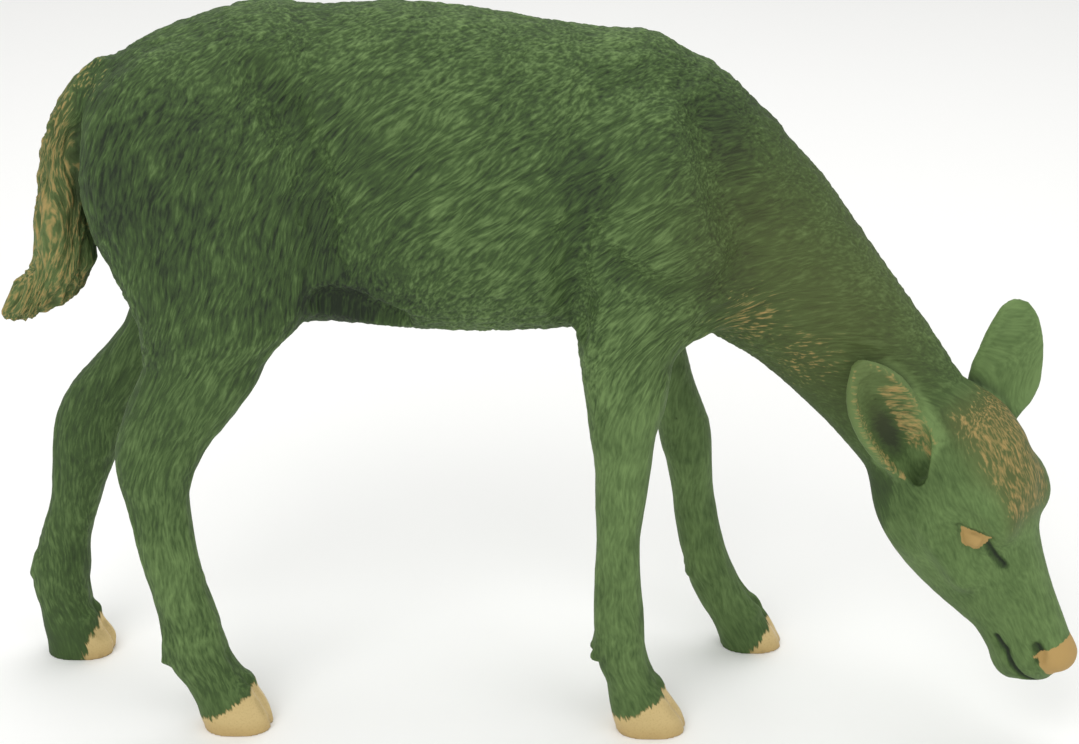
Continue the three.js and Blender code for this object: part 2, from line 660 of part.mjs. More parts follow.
// Draws short edges together, least change of shape first, until few enough faces are left
function thin(points, faces, wanted) {
  const planes = points.map(() => new Float64Array(10));
  const around = points.map(() => new Set());
  const alive = faces.map(() => true);
  const stamp = new Int32Array(points.length);
  faces.forEach((face, f) => {
    const [a, b, c] = face.map((i) => points[i]);
    const normal = faceNormal(a, b, c);
    const area = Math.hypot(...normal);
    const n = area > 0 ? times(normal, 1 / area) : Z;
    const plane = planeSum(n, -dot(n, a), area + 0.01);
    for (const i of face) {
      around[i].add(f);
      plane.forEach((v, k) => {
        planes[i][k] += v;
      });
    }
  });
  const heap = new Heap();
  const neighbours = (i) => {
    const found = new Set();
    for (const f of around[i]) for (const j of faces[f]) if (j !== i) found.add(j);
    return found;
  };
  const offer = (i, j) => {
    const q = planes[i].map((v, k) => v + planes[j][k]);
    const best = bestPoint(q, points[i], points[j]);
    const long = Math.hypot(...sum(points[i], times(points[j], -1)));
    heap.push([planeCost(q, best) + 0.02 * long * long, i, j, stamp[i], stamp[j], best]);
  };
  points.forEach((p, i) => {
    for (const j of neighbours(i)) if (i < j) offer(i, j);
  });
  let left = faces.length;
  const flips = (i, other, best) => {
    for (const f of around[i]) {
      const face = faces[f];
      if (face.includes(other)) continue;
      const before = faceNormal(...face.map((k) => points[k]));
      const after = faceNormal(...face.map((k) => (k === i ? best : points[k])));
      if (dot(before, after) < 0.3 * Math.hypot(...before) * Math.hypot(...after)) return true;
    }
    return false;
  };
  while (left > wanted && heap.items.length) {
    const [, i, j, si, sj, best] = heap.pop();
    if (stamp[i] !== si || stamp[j] !== sj) continue;
    const shared = [...neighbours(i)].filter((k) => neighbours(j).has(k));
    if (shared.length !== 2 || flips(i, j, best) || flips(j, i, best)) continue;
    points[i] = best;
    planes[j].forEach((v, k) => {
      planes[i][k] += v;
    });
    for (const f of [...around[j]]) {
      const face = faces[f];
      if (face.includes(i)) {
        alive[f] = false;
        left -= 1;
        for (const k of face) around[k].delete(f);
      } else {
        face[face.indexOf(j)] = i;
        around[i].add(f);
      }
    }
    around[j].clear();
    stamp[j] = -1;
    stamp[i] += 1;
    for (const k of neighbours(i)) offer(Math.min(i, k), Math.max(i, k));
  }
  const place = new Map();
  const kept = [];
  const triangles = faces
    .filter((face, f) => alive[f])
    .map((face) =>
      face.map((i) => {
        if (!place.has(i)) place.set(i, kept.push(points[i]) - 1);
        return place.get(i);
      }),
    );
  return { points: kept, faces: triangles };
}

// The soles are cut flat where the deer meets the floor
async function cutAtFloor({ points, faces }) {
  const kit = await Module();
  kit.setup();
  const skinMesh = new kit.Mesh({
    numProp: 3,
    vertProperties: new Float32Array(points.flat()),
    triVerts: new Uint32Array(faces.flat()),
  });
  skinMesh.merge();
  const standing = new kit.Manifold(skinMesh).trimByPlane([0, 0, 1], 0).getMesh();
  const geometry = new THREE.BufferGeometry();
  geometry.setAttribute("position", new THREE.BufferAttribute(standing.vertProperties, standing.numProp));
  geometry.setIndex(new THREE.BufferAttribute(standing.triVerts, 1));
  return geometry;
}

const field = lattice();
partTouching(field);
const net = netting(field);
settle(net.points);
const geometry = await cutAtFloor(thin(net.points, net.faces, FACES));
geometry.translate(-CENTRE[0], -CENTRE[1], 0);
geometry.computeVertexNormals();

const deer = new THREE.Mesh(
  geometry,
  new THREE.MeshStandardMaterial({ color: 0x4f7044, roughness: 0.75, metalness: 0 }),
);
deer.name = "deer";

const statue = new THREE.Group();
statue.add(deer);

export default statue;
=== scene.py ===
"""A grazing deer statue cast in resin, carved with a short coat and painted green and gold.

The deer stands on a pale floor under soft light. Lengths in the tables are millimetres in the
sculptor's own frame: +X runs towards the head, -Y is the side the head turns to, +Z is up.
"""

import math

import bpy
import numpy as np
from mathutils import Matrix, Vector


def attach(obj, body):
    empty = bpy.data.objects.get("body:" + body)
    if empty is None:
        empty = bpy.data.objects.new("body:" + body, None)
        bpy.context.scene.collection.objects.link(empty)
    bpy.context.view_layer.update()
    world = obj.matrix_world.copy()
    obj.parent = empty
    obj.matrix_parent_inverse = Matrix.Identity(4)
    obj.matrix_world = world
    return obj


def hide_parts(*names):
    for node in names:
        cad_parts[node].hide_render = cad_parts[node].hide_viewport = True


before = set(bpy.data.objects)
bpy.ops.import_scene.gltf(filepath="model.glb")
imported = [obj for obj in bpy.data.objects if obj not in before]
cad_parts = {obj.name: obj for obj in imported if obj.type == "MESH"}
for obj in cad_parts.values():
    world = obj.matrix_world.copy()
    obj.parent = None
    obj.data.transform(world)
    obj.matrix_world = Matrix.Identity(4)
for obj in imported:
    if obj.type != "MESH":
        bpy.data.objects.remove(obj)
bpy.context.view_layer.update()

bl_info = {
    "name": "Grazing Deer Statue",
    "version": (1, 0, 0),
    "blender": (4, 5, 0),
    "location": "3D View > Sidebar > Deer",
    "description": "Models, carves and paints a resin deer and sets the stage round it",
    "category": "Object",
}

MM = 0.001
CENTRE = np.array([-4.4, -9.8, 0.0])  # middle of the whole deer, moved to x = 0, y = 0
SOLE_DEPTH = -10.0  # the legs run on below the floor and are cut at z = 0
FAR = 60.0  # how far from the skin distances still count
JOIN_REACH = 28.0  # how far outside its box a form can round its neighbours
GROOVE_START, GROOVE_STEP = 80.0, 0.5  # where the search inwards for the skin starts
FLOOR_BAND = 0.3  # points this low lie in the flat soles
SLAB = 12  # layers of the lattice worked out together
FOLD_REACHES = (4.0, 9.0, 18.0, 32.0)  # how far out of the skin folds are looked for
LIE_STEP, LIE_SPREAD = 5.0, 20.0  # spacing of the grid of the coat, and reach of each row in LIE
LIE_CORNER, LIE_SIZE = (-350.0, -20.0), (141, 97)

# Trunk, rows along x: x, belly z, back z, middle y, half width
TRUNK = [
    (-250, 325, 366, 0, 12), (-246, 308, 382, 0, 26), (-236, 290, 395, 0, 38),
    (-215, 268, 410, 0, 47), (-182, 254, 423, 0, 51), (-146, 250, 430.5, 0, 50),
    (-118, 249, 428.5, 0, 51), (-80, 246, 430, 0, 56), (-40, 244, 427, 0, 58),
    (0, 245, 420.5, 0, 56), (33, 247, 416, 0, 50), (56, 249, 415, 0, 44), (80, 250, 404, 0, 40),
    (105, 256, 386, 0, 34), (125, 280, 360, 0, 25),
]

# Neck, rows along its own slope: distance, throat, nape, middle, half width
NECK = [
    (-45, -55, 51, 0, 38), (0, -62, 59, 0, 40), (40, -56, 59, -1, 40), (70, -47, 56, -3, 38),
    (100, -38, 52.5, -7, 35), (130, -34, 49.5, -12, 32), (160, -32, 46, -18, 30),
    (190, -32, 39.5, -24, 29), (205, -30, 32, -26, 26),
]

# Legs, rows up from the floor: z, back x, front x, middle y, half width
NEAR_FORE = [
    (SOLE_DEPTH, 46, 88, -46, 15), (0, 46, 88, -46, 15), (8, 44, 86, -46, 15),
    (18, 42, 80, -45.5, 14.5), (32, 40, 71, -45, 13.5), (46, 35, 65, -45, 13.5),
    (59, 33, 62, -45, 14.5), (73, 32, 61.5, -44, 13), (100, 32, 59, -44, 11.5),
    (126, 33, 58, -43, 11.5), (152, 32, 61, -43, 13), (164, 32, 62.5, -42, 14.5),
    (177, 31, 64, -42, 15), (190, 29, 65, -42, 16), (214, 26, 71, -41, 18), (238, 23, 74, -40, 20),
    (258, 22, 78, -38, 21), (285, 24, 80, -33, 20), (312, 32, 72, -26, 15), (335, 42, 62, -18, 8),
]
FAR_FORE = [
    (SOLE_DEPTH, 117, 156, 49, 15), (0, 117, 156, 49, 15), (8, 115, 153, 48.5, 15),
    (18, 111, 148, 48, 14.5), (34, 102, 137, 47, 13.5), (47, 96, 128, 46, 13.5),
    (62, 92, 121, 45, 14.5), (77, 88, 116, 44, 13), (100, 84, 110.5, 43, 11.5),
    (121, 81, 107, 41, 12), (136, 78, 106, 40, 13.5), (150, 74, 105, 39, 14.5),
    (164, 71, 103, 38, 14.5), (178, 67, 98, 37, 15), (192, 61, 93, 36, 16), (215, 48, 87, 34, 19),
    (238, 36, 83, 34, 21), (260, 26, 84, 34, 21), (285, 24, 82, 32, 20), (312, 32, 72, 26, 15),
    (335, 42, 62, 18, 8),
]
NEAR_HIND = [
    (SOLE_DEPTH, -202, -161, -43, 15), (0, -202, -161, -43, 15), (8, -204, -162, -43, 15),
    (16, -206, -165, -42, 14.5), (30, -212, -173, -42, 13.5), (44, -220, -182, -42, 14),
    (57, -223, -186, -42, 14.5), (71, -224, -189, -41, 13), (98, -229, -196, -41, 12),
    (124, -234, -200, -40, 12), (150, -238, -201.5, -39, 13.5), (163, -240.5, -199, -39, 15),
    (175, -241.5, -194, -39, 15.5), (188, -240, -186, -38, 16), (200, -236, -176, -38, 17.5),
    (213, -231, -166, -38, 19), (225, -225, -158, -38, 20), (237, -221, -152, -37, 21),
    (261, -222, -137, -37, 24), (285, -228, -130, -34, 24), (312, -230, -130, -29, 22),
    (345, -222, -145, -22, 16), (375, -205, -165, -14, 8),
]
FAR_HIND = [
    (SOLE_DEPTH, -315, -273, 41, 15), (0, -315, -273, 41, 15), (8, -315, -272, 41, 15),
    (21, -316, -278, 40, 14.5), (34, -317, -284, 40, 13.5), (48, -319, -284, 39.5, 14),
    (64, -318, -282.5, 39, 14.5), (80, -313, -281, 39, 13), (109, -303, -272, 38, 12),
    (123, -300, -267, 37, 12.5), (137, -298, -261, 37, 14), (151, -296, -255, 36, 15),
    (165, -293.5, -250, 36, 15.5), (178, -289, -243, 36, 16), (192, -280, -234, 35, 17),
    (205, -268, -220, 35, 18), (218, -256, -205, 34, 19), (231, -246, -190, 34, 21),
    (250, -238, -165, 34, 23), (275, -232, -140, 33, 24), (312, -230, -130, 29, 22),
    (345, -222, -145, 22, 16), (375, -205, -165, 14, 8),
]

# Tail, rows up from its flicked tip: z, back x, front x, middle y, half width
TAIL = [
    (249, -306, -290, -2, 4), (254, -307, -279, -2, 8), (261, -303, -267, -1, 11),
    (270, -297, -258, 0, 14), (278, -289, -254, 0, 16), (285, -285.5, -250, 0, 17),
    (295, -283.5, -250, 0, 18), (310, -282, -251, 0, 18), (330, -278, -246, 0, 17),
    (348, -274.5, -244, 0, 16), (365, -268.5, -240, 0, 15), (379, -261, -234, 0, 13),
    (390, -252, -226, 0, 10), (400, -240, -220, 0, 6),
]

# Skull, rows from the poll to the nose: distance, jaw, forehead, middle, half width
SKULL = [
    (-8, -34, 2, 0, 16), (0, -43, 13, 0, 25), (10, -49, 21, 0, 31), (20, -53, 26, 0, 34),
    (38, -60, 30, 0, 35), (55, -67, 29.5, 0, 35), (70, -70, 25, 0, 34), (82, -68, 19, 0, 31),
    (95, -64, 15, 0, 27), (110, -57, 12.5, 0, 23), (125, -48, 11, 0, 20),
    (135, -42, 10.5, 0, 18.5), (145, -40, 10, 0, 18), (157, -39, 9, 0, 17.5),
    (166, -36, 4, 0, 15), (172, -29, -3, 0, 11), (176, -20, -10, 0, 5),
]

# Ear, rows from root to tip: share of the length, half width
NEAR_EAR = [
    (-0.12, 4), (-0.04, 8), (0.06, 12.5), (0.18, 16), (0.34, 19), (0.5, 20), (0.66, 19),
    (0.8, 15.5), (0.91, 10.5), (1, 4),
]
FAR_EAR = [
    (-0.1, 12), (0.05, 16), (0.18, 19.5), (0.34, 20.5), (0.5, 19), (0.66, 17), (0.8, 14),
    (0.9, 11), (0.97, 7), (1, 4),
]

# How the coat lies, seen from the near side: x, z, and the slope of the hair in degrees
LIE = [
    (-228, 394, 72), (-233, 347, 76), (-235, 322, 88), (-206, 412, 45), (-210, 369, 58),
    (-211, 322, 74), (-217, 285, 96), (-185, 386, 48), (-190, 347, 60), (-194, 302, 66),
    (-196, 267, 64), (-199, 231, 52), (-168, 369, 50), (-171, 325, 60), (-174, 279, 48),
    (-173, 243, 40), (-143, 391, 66), (-148, 347, 62), (-151, 302, 64), (-150, 267, 55),
    (-123, 418, 32), (-126, 369, 60), (-127, 336, 56), (-129, 301, 72), (-103, 402, 56),
    (-103, 347, 44), (-109, 319, 66), (-107, 301, 105), (-106, 279, 140), (-75, 380, 46),
    (-82, 345, 30), (-83, 302, 76), (-76, 279, 120), (-51, 412, 40), (-58, 336, 34),
    (-59, 296, 37), (-54, 273, 34), (-20, 412, 33), (-21, 375, 36), (-21, 336, 40),
    (-21, 285, 38), (11, 412, 38), (11, 369, 46), (16, 328, 34), (11, 285, 28), (42, 412, 36),
    (42, 369, 46), (43, 328, 24), (43, 299, 28), (44, 267, 55), (59, 415, 12), (63, 386, 46),
    (64, 347, 50), (67, 314, 40), (63, 267, 62), (84, 389, -14), (85, 361, 12), (86, 333, 32),
    (87, 302, 34), (88, 276, 12), (109, 361, 6), (110, 333, 28), (112, 301, 36), (113, 269, 12),
    (134, 338, 10), (133, 310, 25), (135, 275, 20), (154, 248, 14), (162, 307, 0), (169, 272, 8),
    (188, 248, 0), (210, 225, 0), (235, 200, 0),
    (-180, 428, 30), (-110, 434, 14), (-40, 432, 8), (20, 425, 8),  # along the spine
    (48, 225, 80), (46, 195, 86), (46, 150, 90), (46, 100, 90), (48, 60, 94), (58, 32, 112),
    (66, 8, 115), (80, 205, 100), (88, 150, 104), (96, 100, 106), (108, 60, 115), (130, 20, 116),
    (-205, 225, 62), (-216, 190, 72), (-220, 150, 96), (-213, 100, 97), (-205, 70, 98),
    (-195, 32, 110), (-183, 8, 112), (-240, 205, 50), (-272, 165, 62), (-285, 120, 72),
    (-298, 80, 84), (-300, 40, 92), (-294, 8, 105),
    (-256, 390, 62), (-264, 355, 82), (-268, 320, 90), (-270, 295, 88), (-277, 275, 70),
    (-292, 258, 50),
]

# Creases in the sides: radius, depth, softness, and points x, z along each
CREASES = [
    (10, 2.8, 8, [(-146, 404), (-131, 382), (-121, 355), (-117, 327), (-117, 300)]),
    (9, 2.2, 8, [(28, 345), (20, 320), (17, 299), (18, 280), (18, 262)]),
    (8, 2.6, 9, [(38, 302), (50, 292), (73, 286), (90, 283), (106, 289), (113, 302)]),
    (14, 2.6, 12, [(92, 378), (104, 345), (112, 322)]),
]
TUCK = (15, 6.5, 3, [(-126, 272), (-104, 266), (-84, 256)])  # the hollow under the flank

# Painted light and shade on the coat, mixed with its own lighter and darker greens: x, z, reach,
# and how much lighter or darker the green is there. The dark spots in the groin and along the
# creases are painted shade, and the lighter top of the back and far fore foot are painted light
TONE_AND_PAINTED_SHADING = [
    (-192, 335, 50, -0.16), (-236, 335, 24, -0.16), (-106, 270, 17, -0.55), (104, 372, 17, -0.12),
    (122, 345, 15, -0.12), (20, 345, 13, -0.12), (30, 372, 14, -0.06), (-120, 410, 16, -0.08),
    (112, 288, 14, -0.14), (-40, 445, 40, 0.06), (-130, 450, 40, 0.06), (40, 440, 40, 0.04),
    (-30, 262, 22, 0.12), (47, 250, 30, 0.10), (47, 180, 45, 0.20), (50, 90, 60, 0.20),
    (-215, 100, 60, 0.22), (-290, 160, 40, -0.10), (-300, 70, 40, -0.04), (95, 150, 40, 0.06),
    (142, 40, 40, 0.18), (-285, 300, 30, 0.2),
]

# The face, seen square to the cheek: points along, up
EYE = [(65.5, -7), (77, -11.5), (82.5, -4), (77, 8)]
FACE_LINES = [  # radius, depth, softness and the points
    (1.3, 0.9, 1.5, EYE + EYE[:1]),
    (1.9, 1.8, 2, [(79, 4), (88, 2), (97, 3)]),  # tear crease
    (2.6, 2.6, 2.5, [(151, -1), (156, -1), (160, -3)]),  # nostril
    (1.6, 1.5, 2, [(140, -22), (149, -20), (157, -21), (166, -20), (173, -17)]),  # mouth
]


def unit(v):
    v = np.asarray(v, float)
    return v / np.linalg.norm(v)


def square_to(a, b):
    """The part of a square to b, as a unit vector."""
    return unit(a - b * (a @ b))


def ramp(x, low, high):
    """0 below low, 1 above high, and a soft step between them."""
    t = np.clip((x - low) / (high - low), 0, 1)
    return t * t * (3 - 2 * t)


def spot(a, b, reach):
    """1 where a and b are 0, fading softly over reach."""
    return np.exp(-(a**2 + b**2) / (2 * reach**2))


def smooth_rows(rows, count=400):
    """Reads a curve through the rows at even steps; it does not swing past them."""
    rows = np.array(rows, float)
    s = rows[:, 0]
    gap = np.diff(s)[:, None]
    slope = np.diff(rows[:, 1:], axis=0) / gap
    turn = np.zeros_like(rows[:, 1:])
    turn[0], turn[-1] = slope[0], slope[-1]
    before = 2 * gap[1:] + gap[:-1]
    after = gap[1:] + 2 * gap[:-1]
    same = slope[:-1] * slope[1:] > 0
    safe = np.where(same, slope[:-1] * slope[1:], 1.0)
    joined = (before + after) * safe / (before * slope[1:] + after * slope[:-1] + ~same)
    turn[1:-1] = np.where(same, joined, 0)
    t = np.linspace(s[0], s[-1], count)
    i = np.clip(np.searchsorted(s, t) - 1, 0, len(s) - 2)
    u = ((t - s[i]) / (s[i + 1] - s[i]))[:, None]
    g = (s[i + 1] - s[i])[:, None]
    return t, (
        (2 * u**3 - 3 * u**2 + 1) * rows[i, 1:]
        + (u**3 - 2 * u**2 + u) * g * turn[i]
        + (3 * u**2 - 2 * u**3) * rows[i + 1, 1:]
        + (u**3 - u**2) * g * turn[i + 1]
    )


class Loft:
    """A body whose sections across a straight axis follow a table of rows."""

    def __init__(self, origin, axis, up, side, rows, blend, power=2.0, cut=False):
        self.origin = np.array(origin, float)
        self.a = unit(axis)
        self.u = square_to(np.array(up, float), self.a)
        self.v = square_to(np.array(side, float), self.a)
        self.t, table = smooth_rows(rows)
        self.low, self.high, self.middle, self.half = table.T
        self.blend, self.power, self.cut = blend, power, cut
        rise = np.gradient((self.low + self.high) / 2, self.t)
        drift = np.gradient(self.middle, self.t)
        self.lean = 1 / np.sqrt(1 + rise**2 + drift**2)
        corners = [
            self.origin + self.a * self.t[k] + self.u * du + self.v * dv
            for k in range(0, len(self.t), 7)
            for du in (self.low[k], self.high[k])
            for dv in (self.middle[k] - self.half[k], self.middle[k] + self.half[k])
        ]
        self.box = np.min(corners, axis=0), np.max(corners, axis=0)

    def distance(self, p):
        q = p - self.origin
        s = q @ self.a
        inside = np.clip(s, self.t[0], self.t[-1])
        f = (inside - self.t[0]) / (self.t[-1] - self.t[0]) * (len(self.t) - 1)
        i = np.minimum(f.astype(int), len(self.t) - 2)
        w = f - i
        low, high, middle, half, lean = (
            row[i] * (1 - w) + row[i + 1] * w
            for row in (self.low, self.high, self.middle, self.half, self.lean)
        )
        du = q @ self.u - (low + high) / 2
        dv = q @ self.v - middle
        across = np.abs(2 * du / (high - low)) ** self.power + np.abs(dv / half) ** self.power
        e = np.maximum(across ** (1 / self.power), 1e-3)
        radius = np.hypot(du, dv) + 1e-6
        d = (radius - radius / e) * lean
        past = np.abs(s - inside)
        return np.where(past > 0, np.hypot(np.maximum(d, 0), past), d)


class Ball:
    """An ellipsoid: half sizes along its forward, side and up directions."""

    def __init__(self, centre, radii, blend, forward=(1, 0, 0), up=(0, 0, 1), cut=False):
        self.centre = np.array(centre, float)
        a = unit(forward)
        u = square_to(np.array(up, float), a)
        self.axes = np.stack([a, np.cross(u, a), u])
        self.radii = np.array(radii, float)
        self.blend, self.cut = blend, cut
        reach = np.sqrt(((self.axes * self.radii[:, None]) ** 2).sum(0))
        self.box = self.centre - reach, self.centre + reach

    def distance(self, p):
        q = (p - self.centre) @ self.axes.T
        near = np.sqrt(((q / self.radii) ** 2).sum(1))
        steep = np.sqrt(((q / self.radii**2) ** 2).sum(1)) + 1e-9
        return near * (near - 1) / steep


class Rod:
    """A tapered rod with round ends."""

    def __init__(self, start, r0, end, r1, blend, cut=False):
        self.start, self.end = np.array(start, float), np.array(end, float)
        self.r0, self.r1 = r0, r1
        self.blend, self.cut = blend, cut
        r = max(r0, r1)
        self.box = np.minimum(self.start, self.end) - r, np.maximum(self.start, self.end) + r

    def distance(self, p):
        run = self.end - self.start
        t = np.clip((p - self.start) @ run / (run @ run), 0, 1)
        q = p - self.start - t[:, None] * run
        return np.sqrt((q * q).sum(1)) - (self.r0 + (self.r1 - self.r0) * t)


def join(a, b, k):
    """Two distances become one skin, rounded over k where they meet."""
    h = np.clip(0.5 + 0.5 * (b - a) / k, 0, 1)
    return b + (a - b) * h - k * h * (1 - h)


def add_form(form, others, p):
    d = form.distance(p)
    return -join(-others, d, form.blend) if form.cut else join(others, d, form.blend)


def margin(form):
    """How far outside its own box a form can still move the skin."""
    return form.blend + 4 if form.cut else JOIN_REACH


def skin(forms, p):
    """Distance of each point from the finished skin."""
    d = np.full(len(p), FAR)
    for form in forms:
        m = margin(form)
        near = np.all((p > form.box[0] - m) & (p < form.box[1] + m), axis=1)
        if near.any():
            d[near] = add_form(form, d[near], p[near])
    return d


def skin_slope(forms, p, e=0.4):
    """Direction straight out of the skin at each point, not made a unit."""
    corners = np.array([(1, -1, -1), (-1, -1, 1), (-1, 1, -1), (1, 1, 1)], float)
    return sum(c * skin(forms, p + c * e)[:, None] for c in corners) / (4 * e)


class Head:
    """The head's own directions: forward along the nose, far cheek, up out of the forehead."""

    def __init__(self, shape):
        turn, pitch, roll = shape.head_turn, shape.head_pitch, shape.head_roll
        self.poll = np.array([233.0, -28.0, 210.0])  # where the skull meets the neck
        level = math.cos(pitch)
        self.forward = np.array(
            [level * math.cos(turn), -level * math.sin(turn), -math.sin(pitch)]
        )
        across = np.array([math.sin(turn), math.cos(turn), 0.0])
        above = np.cross(self.forward, across)
        self.side = across * math.cos(roll) + above * math.sin(roll)
        self.up = np.cross(self.forward, self.side)

    def at(self, along, side, up):
        return self.poll + self.forward * along + self.side * side + self.up * up

    def read(self, p):
        """Places in the head's own directions: along, side, up."""
        return (p - self.poll) @ np.stack([self.forward, self.side, self.up], axis=1)


def trunk_forms():
    forms = [
        Loft((0, 0, 0), (1, 0, 0), (0, 0, 1), (0, 1, 0), TRUNK, 1, 2.15),
        Loft((85, 0, 325), (0.68, 0, -0.733), (0.733, 0, 0.68), (0, 1, 0), NECK, 14),
    ]
    forms += [cut for s in (-1, 1) for cut in groove(forms, beside(s), *TUCK)]
    for s in (-1, 1):
        forms += [
            Ball((60, s * 34, 318), (47, 25, 68), 14, (1, 0, 0.1), (-0.2, 0, 1)),  # shoulder
            Ball((74, s * 34, 284), (32, 23, 32), 22),  # point of the shoulder
            Ball((47, s * 39, 266), (23, 19, 36), 16, up=(0.1, 0, 1)),  # upper arm
            Ball((-186, s * 29, 336), (62, 29, 76), 11, up=(-0.05, 0, 1)),  # haunch
            Ball((-173, s * 33, 284), (45, 23, 40), 20, (1, 0, -0.3), (0.3, 0, 1)),  # stifle
            Ball((-150, s * 24, 405), (22, 14, 14), 22),  # hip bone
        ]
    return forms


def leg_forms():
    return [
        Loft((0, 0, 0), (0, 0, 1), (1, 0, 0), (0, 1, 0), rows, 10, 2.3)
        for rows in (NEAR_FORE, FAR_FORE, NEAR_HIND, FAR_HIND)
    ]


def fold_forms():
    """The fold behind the elbow and the hollow in front of the arm."""
    forms = []
    for s in (-1, 1):
        forms += [
            Rod((14, s * 62, 292), 4, (16, s * 60, 250), 5, 5, cut=True),
            Ball((103, s * 54, 258), (20, 13, 18), 8, cut=True),
        ]
    return forms


def groove(forms, place, radius, depth, blend, path):
    """Cuts that follow the skin along a path; place turns a path row and a reach into a point."""
    reach = np.arange(GROOVE_START, 0.0, -GROOVE_STEP)
    spots = []
    for a, b in path:
        line = np.array([place(a, out, b) for out in reach])
        surface = reach[np.argmax(skin(forms, line) < 0)]
        spots.append(place(a, surface + radius - depth, b))
    return [Rod(a, radius, b, radius, blend, cut=True) for a, b in zip(spots, spots[1:])]


def beside(s):
    """Places by x, reach to one side and z."""
    return lambda x, out, z: (x, s * out, z)


def on_cheek(head, s):
    """Places on the head by distance along it, reach to one side and height."""
    return lambda along, out, up: head.at(along, s * out, up)


def cleft(points, side, radius=2.8):
    """The groove down the front of a foot between its toes."""
    return [
        Rod((a[0], side, a[1]), radius, (b[0], side, b[1]), radius, 2, cut=True)
        for a, b in zip(points, points[1:])
    ]


def dewclaws(a, b, side):
    """The two small claws behind a foot."""
    return [Rod((a[0], side + s, a[1]), 5, (b[0], side + s, b[1]), 3, 4) for s in (-6, 6)]


def foot_forms():
    return [
        *dewclaws((39, 62), (33, 53), -45),
        *dewclaws((99, 70), (95, 59), 45),
        *dewclaws((-216, 58), (-221, 48), -42),
        *dewclaws((-311, 69), (-316, 61), 39.5),
        Ball((67, -45, 27), (7, 13, 5), 5),
        Ball((-178, -42, 27), (7, 13, 5), 5),
        Ball((134, 47, 28), (7, 13, 5), 5),
        Ball((-287, 40, 28), (7, 13, 5), 5),
        *cleft([(65, 52), (72.5, 32), (81, 18), (89, 6), (90, SOLE_DEPTH)], -49),
        *cleft([(127, 50), (139, 32), (149, 18), (157, 6), (158, SOLE_DEPTH)], 46),
        *cleft([(-184, 52), (-171.5, 31), (-164, 17), (-160, 6), (-159, SOLE_DEPTH)], -45),
        *cleft([(-283, 52), (-281.5, 34), (-277, 20), (-271, 6), (-271, SOLE_DEPTH)], 40),
    ]


class Ear:
    """A leaf-shaped ear, hollowed on the side it opens to and ribbed with long hairs inside."""

    def __init__(self, root, tip, rows, bow, opening, wall):
        run = tip - root
        self.root, self.rows, self.bow, self.wall = root, rows, bow, wall
        self.stretch = np.linalg.norm(run)
        self.axis = run / self.stretch
        self.way = square_to(np.array(opening, float), self.axis)
        self.wide = np.cross(self.way, self.axis)
        if self.wide[0] < 0:
            self.wide = -self.wide

    def shift(self, t):
        return self.bow * np.maximum(0.0, 1 - ((t - 0.47) / 0.5) ** 2)

    def half(self, t):
        shares, halves = zip(*self.rows)
        return np.interp(t, shares, halves)

    def at(self, t, across, out):
        """A place in the ear: share of its length, share of its half width, mm out of it."""
        wide = self.shift(t) + across * self.half(t)
        return self.root + self.axis * t * self.stretch + self.wide * wide + self.way * out

    def read(self, p):
        q = p - self.root
        t = q @ self.axis / self.stretch
        return t, (q @ self.wide - self.shift(t)) / self.half(t), q @ self.way

    def forms(self):
        shell, bowl = [], []
        for t, h in self.rows:
            row = (t * self.stretch, self.shift(t) - h, self.shift(t) + h)
            sunk = -1.5 - 25 * max(0.1 - t, 0)
            shell.append((*row, sunk, min(max(h * 0.45, 3.2), 7.5)))
            row = (row[0], row[1] + self.wall, row[2] - self.wall)
            bowl.append((*row, 5.5, min(h * 0.46, 8)))
        hairs = []
        for t in np.arange(0.2, 0.74, 0.05):
            sway = 0.1 * math.sin(37 * t)
            bend = self.at(t + 0.03, 0.4 + sway, -1.3)
            hairs += [
                Rod(self.at(t + 0.1, 0.05 + sway, -2.4), 0.6, bend, 1.3, 1.5),
                Rod(bend, 1.3, self.at(t - 0.03, 0.7, 1.0), 1.0, 1.5),
            ]
        return [
            Loft(self.root, self.axis, self.wide, self.way, shell, 5),
            Loft(self.root, self.axis, self.wide, self.way, bowl[1:-1], 2, cut=True),
            *hairs,
        ]

    def gold(self, p, normal):
        """How thickly the inside of the rim and the hairs in the bowl are dry-brushed."""
        t, across, out = self.read(p)
        inside = (normal @ self.way > -0.1) & (out > -4) & (out < 12) & (t > 0.04) & (t < 1)
        edge = np.abs(across)
        rim = (0.4 + 0.1 * (1 - ramp(t, 0.2, 0.4))) * ramp(edge, 0.5, 0.65)
        rim *= 1 - ramp(edge, 0.86, 1.02)
        hairs = 0.5 * ramp(across, 0.05, 0.2) * (1 - ramp(across, 0.7, 0.9))
        hairs *= ramp(t, 0.1, 0.2) * (1 - ramp(t, 0.7, 0.85))
        return np.where(inside, np.maximum(rim, hairs), 0)

    def cover(self, p):
        """1 on the ear, 0 off it."""
        t, across, out = self.read(p)
        wide = 1 - ramp(np.abs(across), 1.1, 1.4)
        return wide * ramp(t, 0.0, 0.15) * (1 - ramp(t, 1.1, 1.2)) * (np.abs(out) < 14)


def make_ears(head, shape):
    wall = shape.ear_wall / MM
    return (
        Ear(head.at(31, -28, -20), head.at(-46, -62, -4), NEAR_EAR, 0, (0, -0.914, 0.404), wall),
        Ear(head.at(22, 33.5, 0), head.at(-31, 58, 31.5), FAR_EAR, 2.5, (0, 0.914, -0.404), wall),
    )


